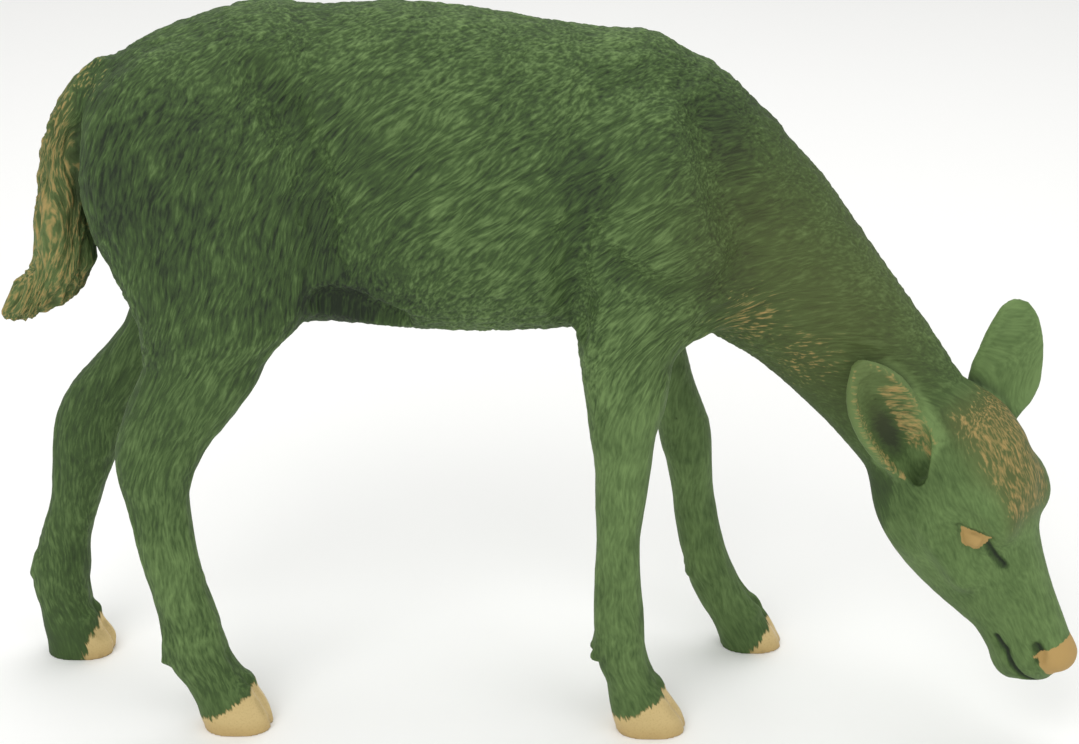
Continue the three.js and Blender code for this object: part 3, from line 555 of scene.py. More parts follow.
def head_forms(head, ears, shape):
    own = (head.forward, head.up)
    eye = shape.eye_radius / MM
    forms = [Loft(head.poll, head.forward, head.up, head.side, SKULL, 14, 2.3)]
    for s in (-1, 1):
        forms += [
            Ball(head.at(50, s * 22, -37), (27, 12, 23), 12, *own),  # cheek
            Ball(head.at(66, s * 24, 13), (15, 9, 9), 14, *own),  # brow
            Rod(head.at(98, s * 25, -22), 6, head.at(60, s * 34, -24), 5, 10),  # cheek bone
        ]
    forms += [
        Ball(head.at(164, 0, 1), (9, 13, 9), 6, *own),  # nose pad
        Ball(head.at(161.5, 0, -31), (12.5, 11, 10), 6, *own),  # chin
        *ears[0].forms(),
        *ears[1].forms(),
    ]
    for s in (-1, 1):
        forms += [
            Ball(head.at(74, s * 36, -2), (14, 5.5, 14), 9, *own, cut=True),
            Ball(head.at(74.5, s * 22.5, -2), (eye, 9, eye - 1), 2.5, *own),
        ]
    for s in (-1, 1):
        forms += [cut for line in FACE_LINES for cut in groove(forms, on_cheek(head, s), *line)]
    return forms


def deer_forms(head, ears, shape):
    forms = [
        *trunk_forms(),
        *leg_forms(),
        Loft((0, 0, 0), (0, 0, 1), (1, 0, 0), (0, 1, 0), TAIL, 6),
        *fold_forms(),
    ]
    creases = [
        cut for s in (-1, 1) for crease in CREASES for cut in groove(forms, beside(s), *crease)
    ]
    return [*forms, *creases, *head_forms(head, ears, shape), *foot_forms()]


def lattice(forms, step):
    """Distances on a regular lattice round the whole deer, cut flat at the floor."""
    solid = [f.box for f in forms if not f.cut]
    low = np.min([b[0] for b in solid], axis=0) - 2 * step
    high = np.max([b[1] for b in solid], axis=0) + 2 * step
    size = np.ceil((high - low) / step).astype(int) + 1
    axes = [low[k] + step * np.arange(size[k]) for k in range(3)]
    d = np.full(size, FAR, np.float32)
    for form in forms:
        m = margin(form)
        a = np.maximum(np.floor((form.box[0] - m - low) / step).astype(int), 0)
        b = np.minimum(np.ceil((form.box[1] + m - low) / step).astype(int) + 1, size)
        for i in range(a[0], b[0], SLAB):
            slab = slice(i, min(i + SLAB, b[0])), slice(a[1], b[1]), slice(a[2], b[2])
            grid = np.meshgrid(*[axes[k][slab[k]] for k in range(3)], indexing="ij")
            p = np.stack(grid, -1).reshape(-1, 3)
            d[slab] = add_form(form, d[slab].ravel(), p).reshape(d[slab].shape)
    d = np.maximum(d, -axes[2][None, None, :].astype(np.float32))
    return low, d


def netting(low, d, step):
    """One point in every cell the skin passes through, and a quad across every edge it cuts."""
    n = d.shape
    inside = d < 0
    count = sum(
        inside[x : n[0] - 1 + x, y : n[1] - 1 + y, z : n[2] - 1 + z].astype(np.int8)
        for x in (0, 1)
        for y in (0, 1)
        for z in (0, 1)
    )
    active = (count > 0) & (count < 8)
    index = np.full(count.shape, -1, np.int64)
    cells = np.argwhere(active)
    index[active] = np.arange(len(cells))
    place = np.zeros((len(cells), 3))
    crossings = np.zeros(len(cells))
    corners = [(x, y, z) for x in (0, 1) for y in (0, 1) for z in (0, 1)]
    value = {c: d[tuple((cells + c).T)].astype(float) for c in corners}
    for axis in range(3):
        for c in corners:
            if c[axis]:
                continue
            e = tuple(1 if k == axis else v for k, v in enumerate(c))
            a, b = value[c], value[e]
            cross = (a < 0) != (b < 0)
            q = np.tile(np.array(c, float), (len(cells), 1))
            q[:, axis] += np.where(cross, a / np.where(cross, a - b, 1), 0)
            place += q * cross[:, None]
            crossings += cross
    points = low + (cells + place / crossings[:, None]) * step
    quads = []
    for axis in range(3):
        p, q = (axis + 1) % 3, (axis + 2) % 3
        here, there = [slice(None)] * 3, [slice(None)] * 3
        here[axis], there[axis] = slice(0, n[axis] - 1), slice(1, n[axis])
        edge = np.argwhere(inside[tuple(here)] != inside[tuple(there)])
        leaving = inside[tuple(here)][tuple(edge.T)]
        ring = []
        for dp, dq in ((-1, -1), (0, -1), (0, 0), (-1, 0)):
            cell = edge.copy()
            cell[:, p] += dp
            cell[:, q] += dq
            ring.append(index[tuple(cell.T)])
        quad = np.stack(ring, 1)
        quad[~leaving] = quad[~leaving][:, ::-1]
        quads.append(quad)
    return points, np.concatenate(quads)


def settle(forms, points, most):
    """Moves each point straight onto the skin, no further than most, and gives its normal."""
    slope = skin_slope(forms, points)
    steep = (slope**2).sum(1)
    move = np.clip(skin(forms, points) / np.maximum(steep, 0.05), -most, most)
    floor = points[:, 2] < FLOOR_BAND
    settled = np.where(floor[:, None], points, points - slope * move[:, None])
    settled[:, 2] = np.maximum(settled[:, 2], 0.0)
    return settled, slope / np.sqrt(steep + 1e-9)[:, None]


def to_world(p):
    return (p - CENTRE) * MM


def write_value(mesh, name, values):
    """Keeps one number, or one vector, for each point of a mesh under a name."""
    kind, key = ("FLOAT_VECTOR", "vector") if values.ndim > 1 else ("FLOAT", "value")
    held = mesh.attributes.get(name) or mesh.attributes.new(name, kind, "POINT")
    held.data.foreach_set(key, values.astype(np.float32).ravel())


def plain_copy(piece, name):
    """The piece as its modifiers leave it, as a plain mesh."""
    graph = bpy.context.evaluated_depsgraph_get()
    mesh = bpy.data.meshes.new_from_object(piece.evaluated_get(graph), depsgraph=graph)
    mesh.name = name
    return mesh


def even_cosines(n):
    """The cosine waves that fit n even steps, one to a row, and how stiff each is."""
    k, i = np.arange(n)[:, None], np.arange(n)[None, :]
    waves = np.cos(math.pi * k * (i + 0.5) / n) * math.sqrt(2 / n)
    waves[0] /= math.sqrt(2)
    return waves, 2 - 2 * np.cos(math.pi * np.arange(n) / n)


def rising_along(gx, gz, step):
    """The height over a flat grid whose slope comes closest to gx, gz everywhere."""
    push = np.zeros_like(gx)
    ex = (gx[1:] + gx[:-1]) / 2 * step
    ez = (gz[:, 1:] + gz[:, :-1]) / 2 * step
    push[1:] += ex
    push[:-1] -= ex
    push[:, 1:] += ez
    push[:, :-1] -= ez
    waves_x, stiff_x = even_cosines(gx.shape[0])
    waves_z, stiff_z = even_cosines(gx.shape[1])
    stiff = stiff_x[:, None] + stiff_z[None, :]
    stiff[0, 0] = 1
    heights = waves_x @ push @ waves_z.T / stiff
    heights[0, 0] = 0
    return waves_x.T @ heights @ waves_z


class Lie:
    """Places counted along the hair and across it, over the deer seen from the near side."""

    def __init__(self):
        self.low = np.array(LIE_CORNER)
        x, z = (low + LIE_STEP * np.arange(count) for low, count in zip(LIE_CORNER, LIE_SIZE))
        grid_x, grid_z = np.meshgrid(x, z, indexing="ij")
        gx, gz = np.zeros_like(grid_x), np.zeros_like(grid_x)
        for ax, az, degrees in LIE:
            a = math.radians(degrees)
            w = spot(grid_x - ax, grid_z - az, LIE_SPREAD) + 1e-9
            gx += w * math.cos(a)
            gz += w * math.sin(a)
        size = np.hypot(gx, gz) + 1e-12
        gx, gz = gx / size, gz / size
        self.along = rising_along(gx, gz, LIE_STEP)
        self.across = rising_along(-gz, gx, LIE_STEP)

    def read(self, p):
        """Millimetres along the hair, across it, and through the deer."""
        f = (p[:, [0, 2]] - self.low) / LIE_STEP
        at = np.clip(f.astype(int), 0, np.array(self.along.shape) - 2)
        (i, j), (u, v) = at.T, np.clip(f - at, 0, 1).T
        found = []
        for grid in (self.along, self.across):
            below = grid[i, j] * (1 - u) + grid[i + 1, j] * u
            above = grid[i, j + 1] * (1 - u) + grid[i + 1, j + 1] * u
            found.append(below * (1 - v) + above * v)
        return np.stack([*found, p[:, 1]], 1)


def strand(p, head):
    """Where each point lies in the coat: along the hair, across it, and through the deer."""
    lie = Lie()
    body = lie.read(p)
    along, side, up = head.read(p).T
    start = lie.read(head.poll[None, :])
    face = start + np.stack([along, up, side], 1)
    w = ramp(along, -22, 22) * (p[:, 0] > 190)
    mixed = body * (1 - w[:, None]) + face * w[:, None]

    # Small waves keep neighbouring hairs from running quite alike, and curl the tail's locks
    run, over, through = mixed.T.copy()
    tail = tail_share(p)
    sway = 0.9 + 2.6 * tail
    mixed[:, 1] += sway * np.sin(run / (5.5 + 4 * tail) + over / 6 + through / 11)
    mixed[:, 1] += 0.7 * sway * np.sin(run / (8.5 + 3 * tail) - over / 4.5 + through / 7 + 1)
    return mixed


def tail_share(p):
    """1 on the tail, 0 on the rump."""
    return (1 - ramp(p[:, 0], -258, -246)) * ramp(p[:, 2], 238, 246)


def coat_depth(p, head, ears):
    """How strongly the coat is carved: full on the body, faint on face, ears and feet."""
    x, _, z = p.T
    along, side, up = head.read(p).T
    near_head = (x > 190) & (np.hypot(side, up + 20) < 90)
    face = np.where(near_head, ramp(along, -10, 30), 0)
    face = np.maximum.reduce([face, ears[0].cover(p), ears[1].cover(p)])
    depth = 0.3 + 0.7 * ramp(z, 190, 260)
    hind = (x < -120) & (z < 260)
    depth = np.where(hind, np.maximum(depth, 0.55), depth)
    depth *= 1 - 0.35 * ramp(x, 90, 150)
    depth = depth * (1 - face) + 0.1 * face
    return (depth + 0.9 * tail_share(p)) * ramp(z, 16, 40)


def from_path(a, b, path):
    """Distance of places a, b from a path through points a, b."""
    least = np.full(len(a), 1e3)
    for (a0, b0), (a1, b1) in zip(path, path[1:]):
        run_a, run_b = a1 - a0, b1 - b0
        t = np.clip(((a - a0) * run_a + (b - b0) * run_b) / (run_a**2 + run_b**2), 0, 1)
        least = np.minimum(least, np.hypot(a - a0 - t * run_a, b - b0 - t * run_b))
    return least


def tone_and_painted_shading(p, head, ears):
    """How much lighter or darker than its main green the coat is painted: its own tone, with
    painted light and painted shade.
    """
    x, _, z = p.T
    value = np.zeros(len(p))
    for at_x, at_z, reach, change in TONE_AND_PAINTED_SHADING:
        value += change * spot(x - at_x, z - at_z, reach)
    # Painted shade along the creases in the sides
    for radius, _, _, path in CREASES:
        value -= 0.16 * np.exp(-((from_path(x, z, path) / (0.7 * radius)) ** 2))
    along, side, up = head.read(p).T
    value += 0.28 * ramp(along, 0, 40) * (x > 200) + 0.2 * tail_share(p)
    value -= 0.16 * spot(along - 30, up + 32, 16)  # in the shadow under the near ear
    # The ears are painted lighter, and the middle of each bowl darker with painted shade
    for ear in ears:
        t, across, out = ear.read(p)
        value += (0.34 + 0.15 * ramp(np.abs(across), 0.7, 0.9)) * ear.cover(p)
        middle = np.exp(-(((across + 0.22) / 0.36) ** 2) - ((t - 0.43) / 0.27) ** 2)
        value -= middle * ramp(out, -4, -3) * (1 - ramp(out, 2, 4)) * ear.cover(p)
    # The dark wash and painted shade in the tear crease, nostril and mouth
    on_cheek = (along > 0) & (np.abs(side) > 6)
    for radius, _, _, path in FACE_LINES[1:]:
        wash = np.exp(-((from_path(along, up, path) / radius) ** 2))
        value -= np.where(on_cheek, 0.9 * wash, 0)
    return value


# The folds found here get the dark wash and painted shade in the paint
def hollow(forms, p, normal):
    """How deep in a fold each point lies, from 0 in the open to 1."""
    total = np.zeros(len(p))
    weight = 0
    for reach in FOLD_REACHES:
        w = 1 / math.sqrt(reach)
        room = skin(forms, p + normal * reach) / reach
        room = np.minimum(room, (p[:, 2] + normal[:, 2] * reach + 200) / reach)
        total += w * np.clip(1 - room, 0, 1)
        weight += w
    return total / weight


def hoof_gold(p):
    """Millimetres inside the gilded part of the hooves."""
    x, y, z = p.T
    near_fore = np.interp(x, [46, 60, 72, 82], [12, 19, 26, 29]) - z
    near_hind = np.interp(x, [-204, -192, -182, -172, -165], [9, 13, 20, 27, 31]) - z
    far_fore = (x - 133 - 0.75 * z) * 0.8
    far_hind = (x + 291 - 0.45 * z) * 0.9
    far = y > 0
    gold = np.where(x > 0, np.where(far, far_fore, near_fore), np.where(far, far_hind, near_hind))
    return np.where(z < 45, np.minimum(gold, 40 - z), -20)


def hoof_shine(p):
    """How bright the gold is: full up the hooves, duller at their soles, least on the head."""
    z = p[:, 2]
    return np.where(z < 45, 0.55 + 0.4 * ramp(z, 1, 12), 0)


def head_gold(p, head):
    """Millimetres inside the gilded nose and eyes."""
    along, side, up = head.read(p).T
    nose = np.minimum(along - 155, up + 5)
    eye = np.full(len(p), 20.0)
    for a, b in zip(EYE, EYE[1:] + EYE[:1]):
        edge = unit(np.subtract(b, a))
        eye = np.minimum(eye, (up - a[1]) * edge[0] - (along - a[0]) * edge[1])
    eye = np.where(np.abs(side) > 20, eye, -20)
    return np.maximum(nose, eye)


def crown(p, head):
    """1 on the crown of the head, fading to 0 round it."""
    along, side, up = head.read(p).T
    top = ramp(up, 0, 14) * (1 - ramp(along, 68, 88)) * ramp(along, -8, 14)
    return top * (1 - ramp(np.abs(side + 2), 18, 32)) * (p[:, 0] > 190)


def dry_gold(p, normal, head, ears):
    """How thickly gold is dry-brushed over the raised hairs, from 0 to 1."""
    x, _, z = p.T
    return np.maximum.reduce([
        tail_share(p) * (0.38 + 0.04 * (1 - ramp(x, -280, -266))),
        0.35 * (1 - ramp(x, -248, -222)) * ramp(z, 372, 392),  # root of the tail
        0.38 * spot(x - 116, z - 263, 15),  # breast
        0.34 * spot(x - 150, z - 240, 14),  # throat
        0.45 * crown(p, head),
        *[ear.gold(p, normal) for ear in ears],
    ])


def olive(p, head):
    """How brown the green turns, on the neck, the breast, the crown and the tail."""
    x, _, z = p.T
    neck = spot(x - 165, z - 255, 45) + 0.6 * spot(x - 115, z - 320, 35)
    return np.clip(neck + 1.6 * crown(p, head) + 0.8 * tail_share(p), 0, 2)


def srgb(hex_colour):
    """A hex colour as Blender's linear values."""
    parts = [int(hex_colour[i : i + 2], 16) / 255 for i in (1, 3, 5)]
    return (*[c / 12.92 if c <= 0.04045 else ((c + 0.055) / 1.055) ** 2.4 for c in parts], 1.0)


def add_node(tree, kind, settings=None, links=None):
    """Adds a node, sets its fields and sockets, and links other nodes or sockets to it."""
    node = tree.nodes.new(kind)
    for key, value in (settings or {}).items():
        if isinstance(key, str) and hasattr(node, key):
            setattr(node, key, value)
        else:
            node.inputs[key].default_value = value
    for key, source in (links or {}).items():
        if isinstance(source, bpy.types.Node):
            source = next(socket for socket in source.outputs if socket.enabled)
        tree.links.new(source, node.inputs[key])
    return node


class DeerShape(bpy.types.PropertyGroup):
    head_turn: bpy.props.FloatProperty(
        name="Head turn", description="How far the head turns to the near side",
        default=math.radians(33), subtype="ANGLE",
    )
    head_pitch: bpy.props.FloatProperty(
        name="Head pitch", description="How far the nose points down",
        default=math.radians(61), subtype="ANGLE",
    )
    head_roll: bpy.props.FloatProperty(
        name="Head roll", description="How far the far ear is lifted",
        default=math.radians(5), subtype="ANGLE",
    )
    ear_wall: bpy.props.FloatProperty(
        name="Ear wall", description="Thickness of the ear's edge",
        default=0.0035, unit="LENGTH",
    )
    eye_radius: bpy.props.FloatProperty(
        name="Eye radius", description="Radius of the eyeball", default=0.011, unit="LENGTH",
    )
    spacing: bpy.props.FloatProperty(
        name="Spacing", description="Spacing of the first points on the skin",
        default=0.0015, unit="LENGTH",
    )


class DeerCoat(bpy.types.PropertyGroup):
    hair_length: bpy.props.FloatProperty(
        name="Hair length", description="Length of one carved hair",
        default=0.0058, unit="LENGTH",
    )
    hair_width: bpy.props.FloatProperty(
        name="Hair width", description="Spacing of carved hairs side by side",
        default=0.0014, unit="LENGTH",
    )
    tuft_depth: bpy.props.FloatProperty(
        name="Tuft depth", description="How far small tufts of hair stand proud",
        default=0.0004, unit="LENGTH",
    )
    lock_depth: bpy.props.FloatProperty(
        name="Lock depth", description="How far whole locks of hair stand proud",
        default=0.0005, unit="LENGTH",
    )
    triangles: bpy.props.IntProperty(
        name="Triangles", description="Most triangles the finished deer keeps", default=196000,
    )


class DeerPaint(bpy.types.PropertyGroup):
    green: bpy.props.FloatVectorProperty(
        name="Green", description="Main green of the coat", size=4, subtype="COLOR",
        default=srgb("#3A5026"),
    )
    # Also the green that painted light on the coat lifts towards
    light: bpy.props.FloatVectorProperty(
        name="Light green", description="Green dry-brushed on the raised hairs", size=4,
        subtype="COLOR", default=srgb("#657E49"),
    )
    # Also the green that painted shade on the coat and in its folds darkens towards
    dark: bpy.props.FloatVectorProperty(
        name="Dark wash", description="Dark green left between the hairs", size=4,
        subtype="COLOR", default=srgb("#1B2715"),
    )
    olive: bpy.props.FloatVectorProperty(
        name="Olive", description="Brown green of the neck and the breast", size=4,
        subtype="COLOR", default=srgb("#50542A"),
    )
    gold: bpy.props.FloatVectorProperty(
        name="Gold", description="Gold paint of the hooves, nose and eyes", size=4,
        subtype="COLOR", default=srgb("#CDB682"),
    )
    gold_dark: bpy.props.FloatVectorProperty(
        name="Dark gold", description="Gold where it is worn or thin", size=4, subtype="COLOR",
        default=srgb("#A88A54"),
    )


class DeerStage(bpy.types.PropertyGroup):
    floor: bpy.props.FloatVectorProperty(
        name="Floor", description="Colour of the plain floor", size=4, subtype="COLOR",
        default=srgb("#F4F4F2"),
    )
    distance: bpy.props.FloatProperty(
        name="Camera distance", description="How far the camera stands beside the deer",
        default=1.0342, unit="LENGTH",
    )
    eye_height: bpy.props.FloatProperty(
        name="Camera height", description="Height of the camera over the floor",
        default=0.68266, unit="LENGTH",
    )
    tilt: bpy.props.FloatProperty(
        name="Camera tilt", description="How far the camera looks down",
        default=math.radians(24.2), subtype="ANGLE",
    )
    lens: bpy.props.FloatProperty(
        name="Lens", description="Focal length of the camera in millimetres", default=65.83,
    )


COAT = "deer_coat"
RESIN = "Painted cast resin"
TUFT_SHARE, LOCK_SHARE = 0.5, 0.25  # how many tufts and locks there are to a hair
EDGE_SHARE = 0.6  # how many ragged teeth the gold's edge has to a hair
CLOUD_SIZE = 0.033  # soft patches where the green was rubbed on thicker, in metres
GRAIN_SIZE = 0.0011  # specks worn through the gold, drawn coarser than real ones to show
SWINGS = {"hairs": 0.62, "tufts": 0.24, "locks": 0.15, "clouds": 0.24}  # strength in the green
RAGGED = 2.6  # how far the edge of the solid gold strays, in millimetres
DRAG_LOW, DRAG_HIGH = 0.68, 0.86  # hair heights between which dragged gold starts to hold
METAL_SHARE = 0.7  # gold paint is metal flakes in a clear binder
MATT, SATIN = 0.72, 0.28  # roughness of the green and of the brightest gold
HAIR_RELIEF = 0.0009  # height of the finest hairs, in metres


# Soft boxes: name, place, size in metres, power in watts
LAMPS = [
    ("key", (-0.9, -1.6, 2.0), 1.6, 26),
    ("fill", (1.6, -1.4, 1.2), 1.4, 8),
    ("top", (0.1, 0.6, 2.2), 1.6, 14),
]
FLOOR_HALF = 6  # metres


class DEER_OT_body(bpy.types.Operator):
    """Models the smooth body of the deer"""

    bl_idname = "deer.body"
    bl_label = "Model the Body"

    def execute(self, context):
        shape = context.scene.deer_shape
        head = Head(shape)
        ears = make_ears(head, shape)
        forms = deer_forms(head, ears, shape)
        step = shape.spacing / MM * 1
        low, d = lattice(forms, step)
        points, quads = netting(low, d, step)
        points, normal = settle(forms, points, step)
        mesh = bpy.data.meshes.new(COAT)
        mesh.from_pydata(to_world(points).tolist(), [], quads.tolist())
        body = bpy.data.objects.new(COAT, mesh)
        context.scene.collection.objects.link(body)
        write_value(mesh, "strand", strand(points, head) * MM)
        write_value(mesh, "nap", coat_depth(points, head, ears))
        write_value(mesh, "hollow", hollow(forms, points, normal))
        write_value(mesh, "tone_and_painted_shading", tone_and_painted_shading(points, head, ears))
        write_value(mesh, "olive", olive(points, head))
        write_value(mesh, "gilt", np.maximum(hoof_gold(points), 5 * head_gold(points, head)))
        write_value(mesh, "rich", hoof_shine(points))
        write_value(mesh, "dry", dry_gold(points, normal, head, ears))
        return {"FINISHED"}


class DEER_OT_coat(bpy.types.Operator):
    """Carves the short coat into the body"""

    bl_idname = "deer.coat"
    bl_label = "Carve the Coat"

    def execute(self, context):
        coat = context.scene.deer_coat
        body = bpy.data.objects[COAT]
        tree = self.carving()
        modifier = body.modifiers.new("Carving", "NODES")
        modifier.node_group = tree
        wanted = {
            "Hair Length": coat.hair_length, "Hair Width": coat.hair_width,
            "Tuft Depth": coat.tuft_depth, "Lock Depth": coat.lock_depth,
            "Material": bpy.data.materials[RESIN],
        }
        for item in tree.interface.items_tree:
            if item.in_out == "INPUT" and item.name in wanted:
                modifier[item.identifier] = wanted[item.name]
        body.data = plain_copy(body, COAT)
        body.modifiers.clear()
        body.data.calc_loop_triangles()
        have = len(body.data.loop_triangles)
        if have > coat.triangles:
            thinner = body.modifiers.new("Thinner", "DECIMATE")
            thinner.ratio = coat.triangles / have
            body.data = plain_copy(body, COAT)
            body.modifiers.clear()
        body.data.shade_smooth()
        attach(body, "root")
        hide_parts("deer")
        return {"FINISHED"}

    def carving(self):
        tree = bpy.data.node_groups.new("Carving", "GeometryNodeTree")
        face = tree.interface
        face.new_socket("Geometry", in_out="OUTPUT", socket_type="NodeSocketGeometry")
        face.new_socket("Geometry", in_out="INPUT", socket_type="NodeSocketGeometry")
        for name in ("Hair Length", "Hair Width", "Tuft Depth", "Lock Depth"):
            face.new_socket(name, in_out="INPUT", socket_type="NodeSocketFloat")
        face.new_socket("Material", in_out="INPUT", socket_type="NodeSocketMaterial")
        ins = add_node(tree, "NodeGroupInput").outputs
        place = add_node(
            tree, "GeometryNodeInputNamedAttribute",
            {"data_type": "FLOAT_VECTOR", "Name": "strand"},
        )
        nap = add_node(tree, "GeometryNodeInputNamedAttribute", {"Name": "nap"})
        size = add_node(
            tree, "ShaderNodeCombineXYZ", None,
            {"X": ins["Hair Length"], "Y": ins["Hair Width"], "Z": ins["Hair Width"]},
        )
        cell = add_node(
            tree, "ShaderNodeVectorMath", {"operation": "DIVIDE"},
            {0: place.outputs["Attribute"], 1: size},
        )
        rises = []
        for share, depth in ((TUFT_SHARE, "Tuft Depth"), (LOCK_SHARE, "Lock Depth")):
            noise = add_node(
                tree, "ShaderNodeTexNoise", {"Scale": share, "Detail": 1.0}, {"Vector": cell}
            )
            rise = add_node(
                tree, "ShaderNodeMapRange",
                {"From Min": 0.3, "From Max": 0.7, "To Min": -1.0, "To Max": 1.0},
                {"Value": noise},
            )
            rise = add_node(
                tree, "ShaderNodeMath", {"operation": "MULTIPLY"}, {0: rise, 1: ins[depth]}
            )
            rises.append(rise)
        total = add_node(
            tree, "ShaderNodeMath", {"operation": "ADD"}, {0: rises[0], 1: rises[1]}
        )
        rise = add_node(
            tree, "ShaderNodeMath", {"operation": "MULTIPLY"},
            {0: total, 1: nap.outputs["Attribute"]},
        )
        normal = add_node(tree, "GeometryNodeInputNormal")
        offset = add_node(
            tree, "ShaderNodeVectorMath", {"operation": "SCALE"}, {0: normal, "Scale": rise}
        )
        moved = add_node(
            tree, "GeometryNodeSetPosition", None, {"Geometry": ins["Geometry"], "Offset": offset}
        )
        real = add_node(tree, "GeometryNodeRealizeInstances", None, {"Geometry": moved})
        painted = add_node(
            tree, "GeometryNodeSetMaterial", None, {"Geometry": real, "Material": ins["Material"]}
        )
        add_node(tree, "NodeGroupOutput", None, {0: painted})
        return tree


class DEER_OT_paint(bpy.types.Operator):
    """Paints the deer green and gold"""

    bl_idname = "deer.paint"
    bl_label = "Paint the Deer"

    def execute(self, context):
        # Polyresin cast from a carved original, primed and painted by hand. It gives the eye a
        # matt, dry green whose short strokes, 1.4 mm wide and 6 mm long, are light on the raised
        # hairs and dark between them, and satin gold paint with a soft gleam on the hooves.
        # Painted shade also darkens the green in the folds, creases and groin, and painted light
        # lifts it along the top of the back.
        paint = context.scene.deer_paint
        coat = context.scene.deer_coat
        resin = bpy.data.materials.new(RESIN)
        resin.use_nodes = True
        tree = resin.node_tree
        shader = tree.nodes["Principled BSDF"]
        place = add_node(tree, "ShaderNodeTexCoord").outputs["Object"]
        value = {
            name: add_node(tree, "ShaderNodeAttribute", {"attribute_name": name}).outputs["Fac"]
            for name in ("nap", "hollow", "tone_and_painted_shading", "olive", "gilt", "rich", "dry")
        }
        lie = add_node(tree, "ShaderNodeAttribute", {"attribute_name": "strand"})
        cell = add_node(
            tree, "ShaderNodeMapping",
            {"Scale": (1 / coat.hair_length, 1 / coat.hair_width, 1 / coat.hair_width)},
            {"Vector": lie.outputs["Vector"]},
        )
        noise = {
            name: add_node(
                tree, "ShaderNodeTexNoise",
                {"Scale": scale, "Detail": detail, "Roughness": 0.55}, {"Vector": where},
            )
            for name, where, scale, detail in (
                ("hairs", cell, 1.0, 2.5), ("tufts", cell, TUFT_SHARE, 1.0),
                ("locks", cell, LOCK_SHARE, 1.0), ("edge", cell, EDGE_SHARE, 2.0),
                ("clouds", place, 1 / CLOUD_SIZE, 2.0), ("grain", place, 1 / GRAIN_SIZE, 2.0),
            )
        }

        # Green: the dark wash lies between the hairs and the light green on top of them. The
        # ladder also takes the painted light and shade of each point, so painted shade pulls the
        # green towards the dark wash and painted light towards the light green
        calm = add_node(
            tree, "ShaderNodeMapRange", {"To Min": 0.35, "To Max": 1.0}, {"Value": value["nap"]}
        )
        height = value["tone_and_painted_shading"]
        for name, strength in SWINGS.items():
            swing = add_node(
                tree, "ShaderNodeMapRange",
                {"From Max": 1.0, "To Min": -strength, "To Max": strength, "clamp": False},
                {"Value": noise[name]},
            )
            if name != "clouds":
                swing = add_node(
                    tree, "ShaderNodeMath", {"operation": "MULTIPLY"}, {0: swing, 1: calm}
                )
            height = add_node(tree, "ShaderNodeMath", {"operation": "ADD"}, {0: height, 1: swing})
        ladder = add_node(
            tree, "ShaderNodeValToRGB", None,
            {"Fac": add_node(tree, "ShaderNodeMath", {"operation": "ADD", 1: 0.5}, {0: height})},
        )
        steps = ladder.color_ramp
        steps.elements[0].position, steps.elements[0].color = 0.0, paint.dark
        steps.elements[1].position, steps.elements[1].color = 1.0, paint.light
        steps.elements.new(0.5).color = paint.green
        brown = add_node(
            tree, "ShaderNodeMath", {"operation": "MULTIPLY", 1: 0.45}, {0: value["olive"]}
        )
        green = add_node(
            tree, "ShaderNodeMix", {"data_type": "RGBA", 7: paint.olive}, {0: brown, 6: ladder}
        )

        # Folds: the dark wash gathers where the skin closes in, and painted shade deepens it there
        deep = add_node(
            tree, "ShaderNodeMapRange", {"From Min": 0.3, "From Max": 0.95, "To Max": 0.9},
            {"Value": value["hollow"]},
        )
        green = add_node(
            tree, "ShaderNodeMix", {"data_type": "RGBA", 7: paint.dark}, {0: deep, 6: green}
        )

        # Gold: solid on hooves, nose and eyes, dragged over the raised hairs elsewhere.
        # The attribute gilt counts millimetres inside the solid gold, and dry is 0 to 1.
        ragged = add_node(
            tree, "ShaderNodeMapRange",
            {"From Min": 0.3, "From Max": 0.7, "To Min": -RAGGED, "To Max": RAGGED},
            {"Value": noise["edge"]},
        )
        ragged = add_node(
            tree, "ShaderNodeMath", {"operation": "ADD"}, {0: ragged, 1: value["gilt"]}
        )
        solid = add_node(
            tree, "ShaderNodeMapRange", {"From Min": -1.0, "From Max": 1.2}, {"Value": ragged}
        )

        # The dry brush only touches what stands proud, and sits more evenly on shallow carving
        raised = add_node(
            tree, "ShaderNodeMix", {"data_type": "FLOAT", 0: 0.22},
            {2: noise["hairs"], 3: noise["tufts"]},
        )
        relief = add_node(
            tree, "ShaderNodeMapRange", {"From Max": 0.4, "To Min": 0.55}, {"Value": value["nap"]}
        )
        raised = add_node(
            tree, "ShaderNodeMix", {"data_type": "FLOAT", 2: 0.5}, {0: relief, 3: raised}
        )
        spare = add_node(
            tree, "ShaderNodeMath", {"operation": "MULTIPLY_ADD", 1: 0.5},
            {0: value["dry"], 2: raised},
        )
        most = add_node(
            tree, "ShaderNodeMapRange", {"From Max": 0.15, "To Max": 0.8}, {"Value": value["dry"]}
        )
        dragged = add_node(
            tree, "ShaderNodeMapRange", {"From Min": DRAG_LOW, "From Max": DRAG_HIGH},
            {"Value": spare, "To Max": most},
        )
        gold = add_node(
            tree, "ShaderNodeMath", {"operation": "MAXIMUM"}, {0: solid, 1: dragged}
        )

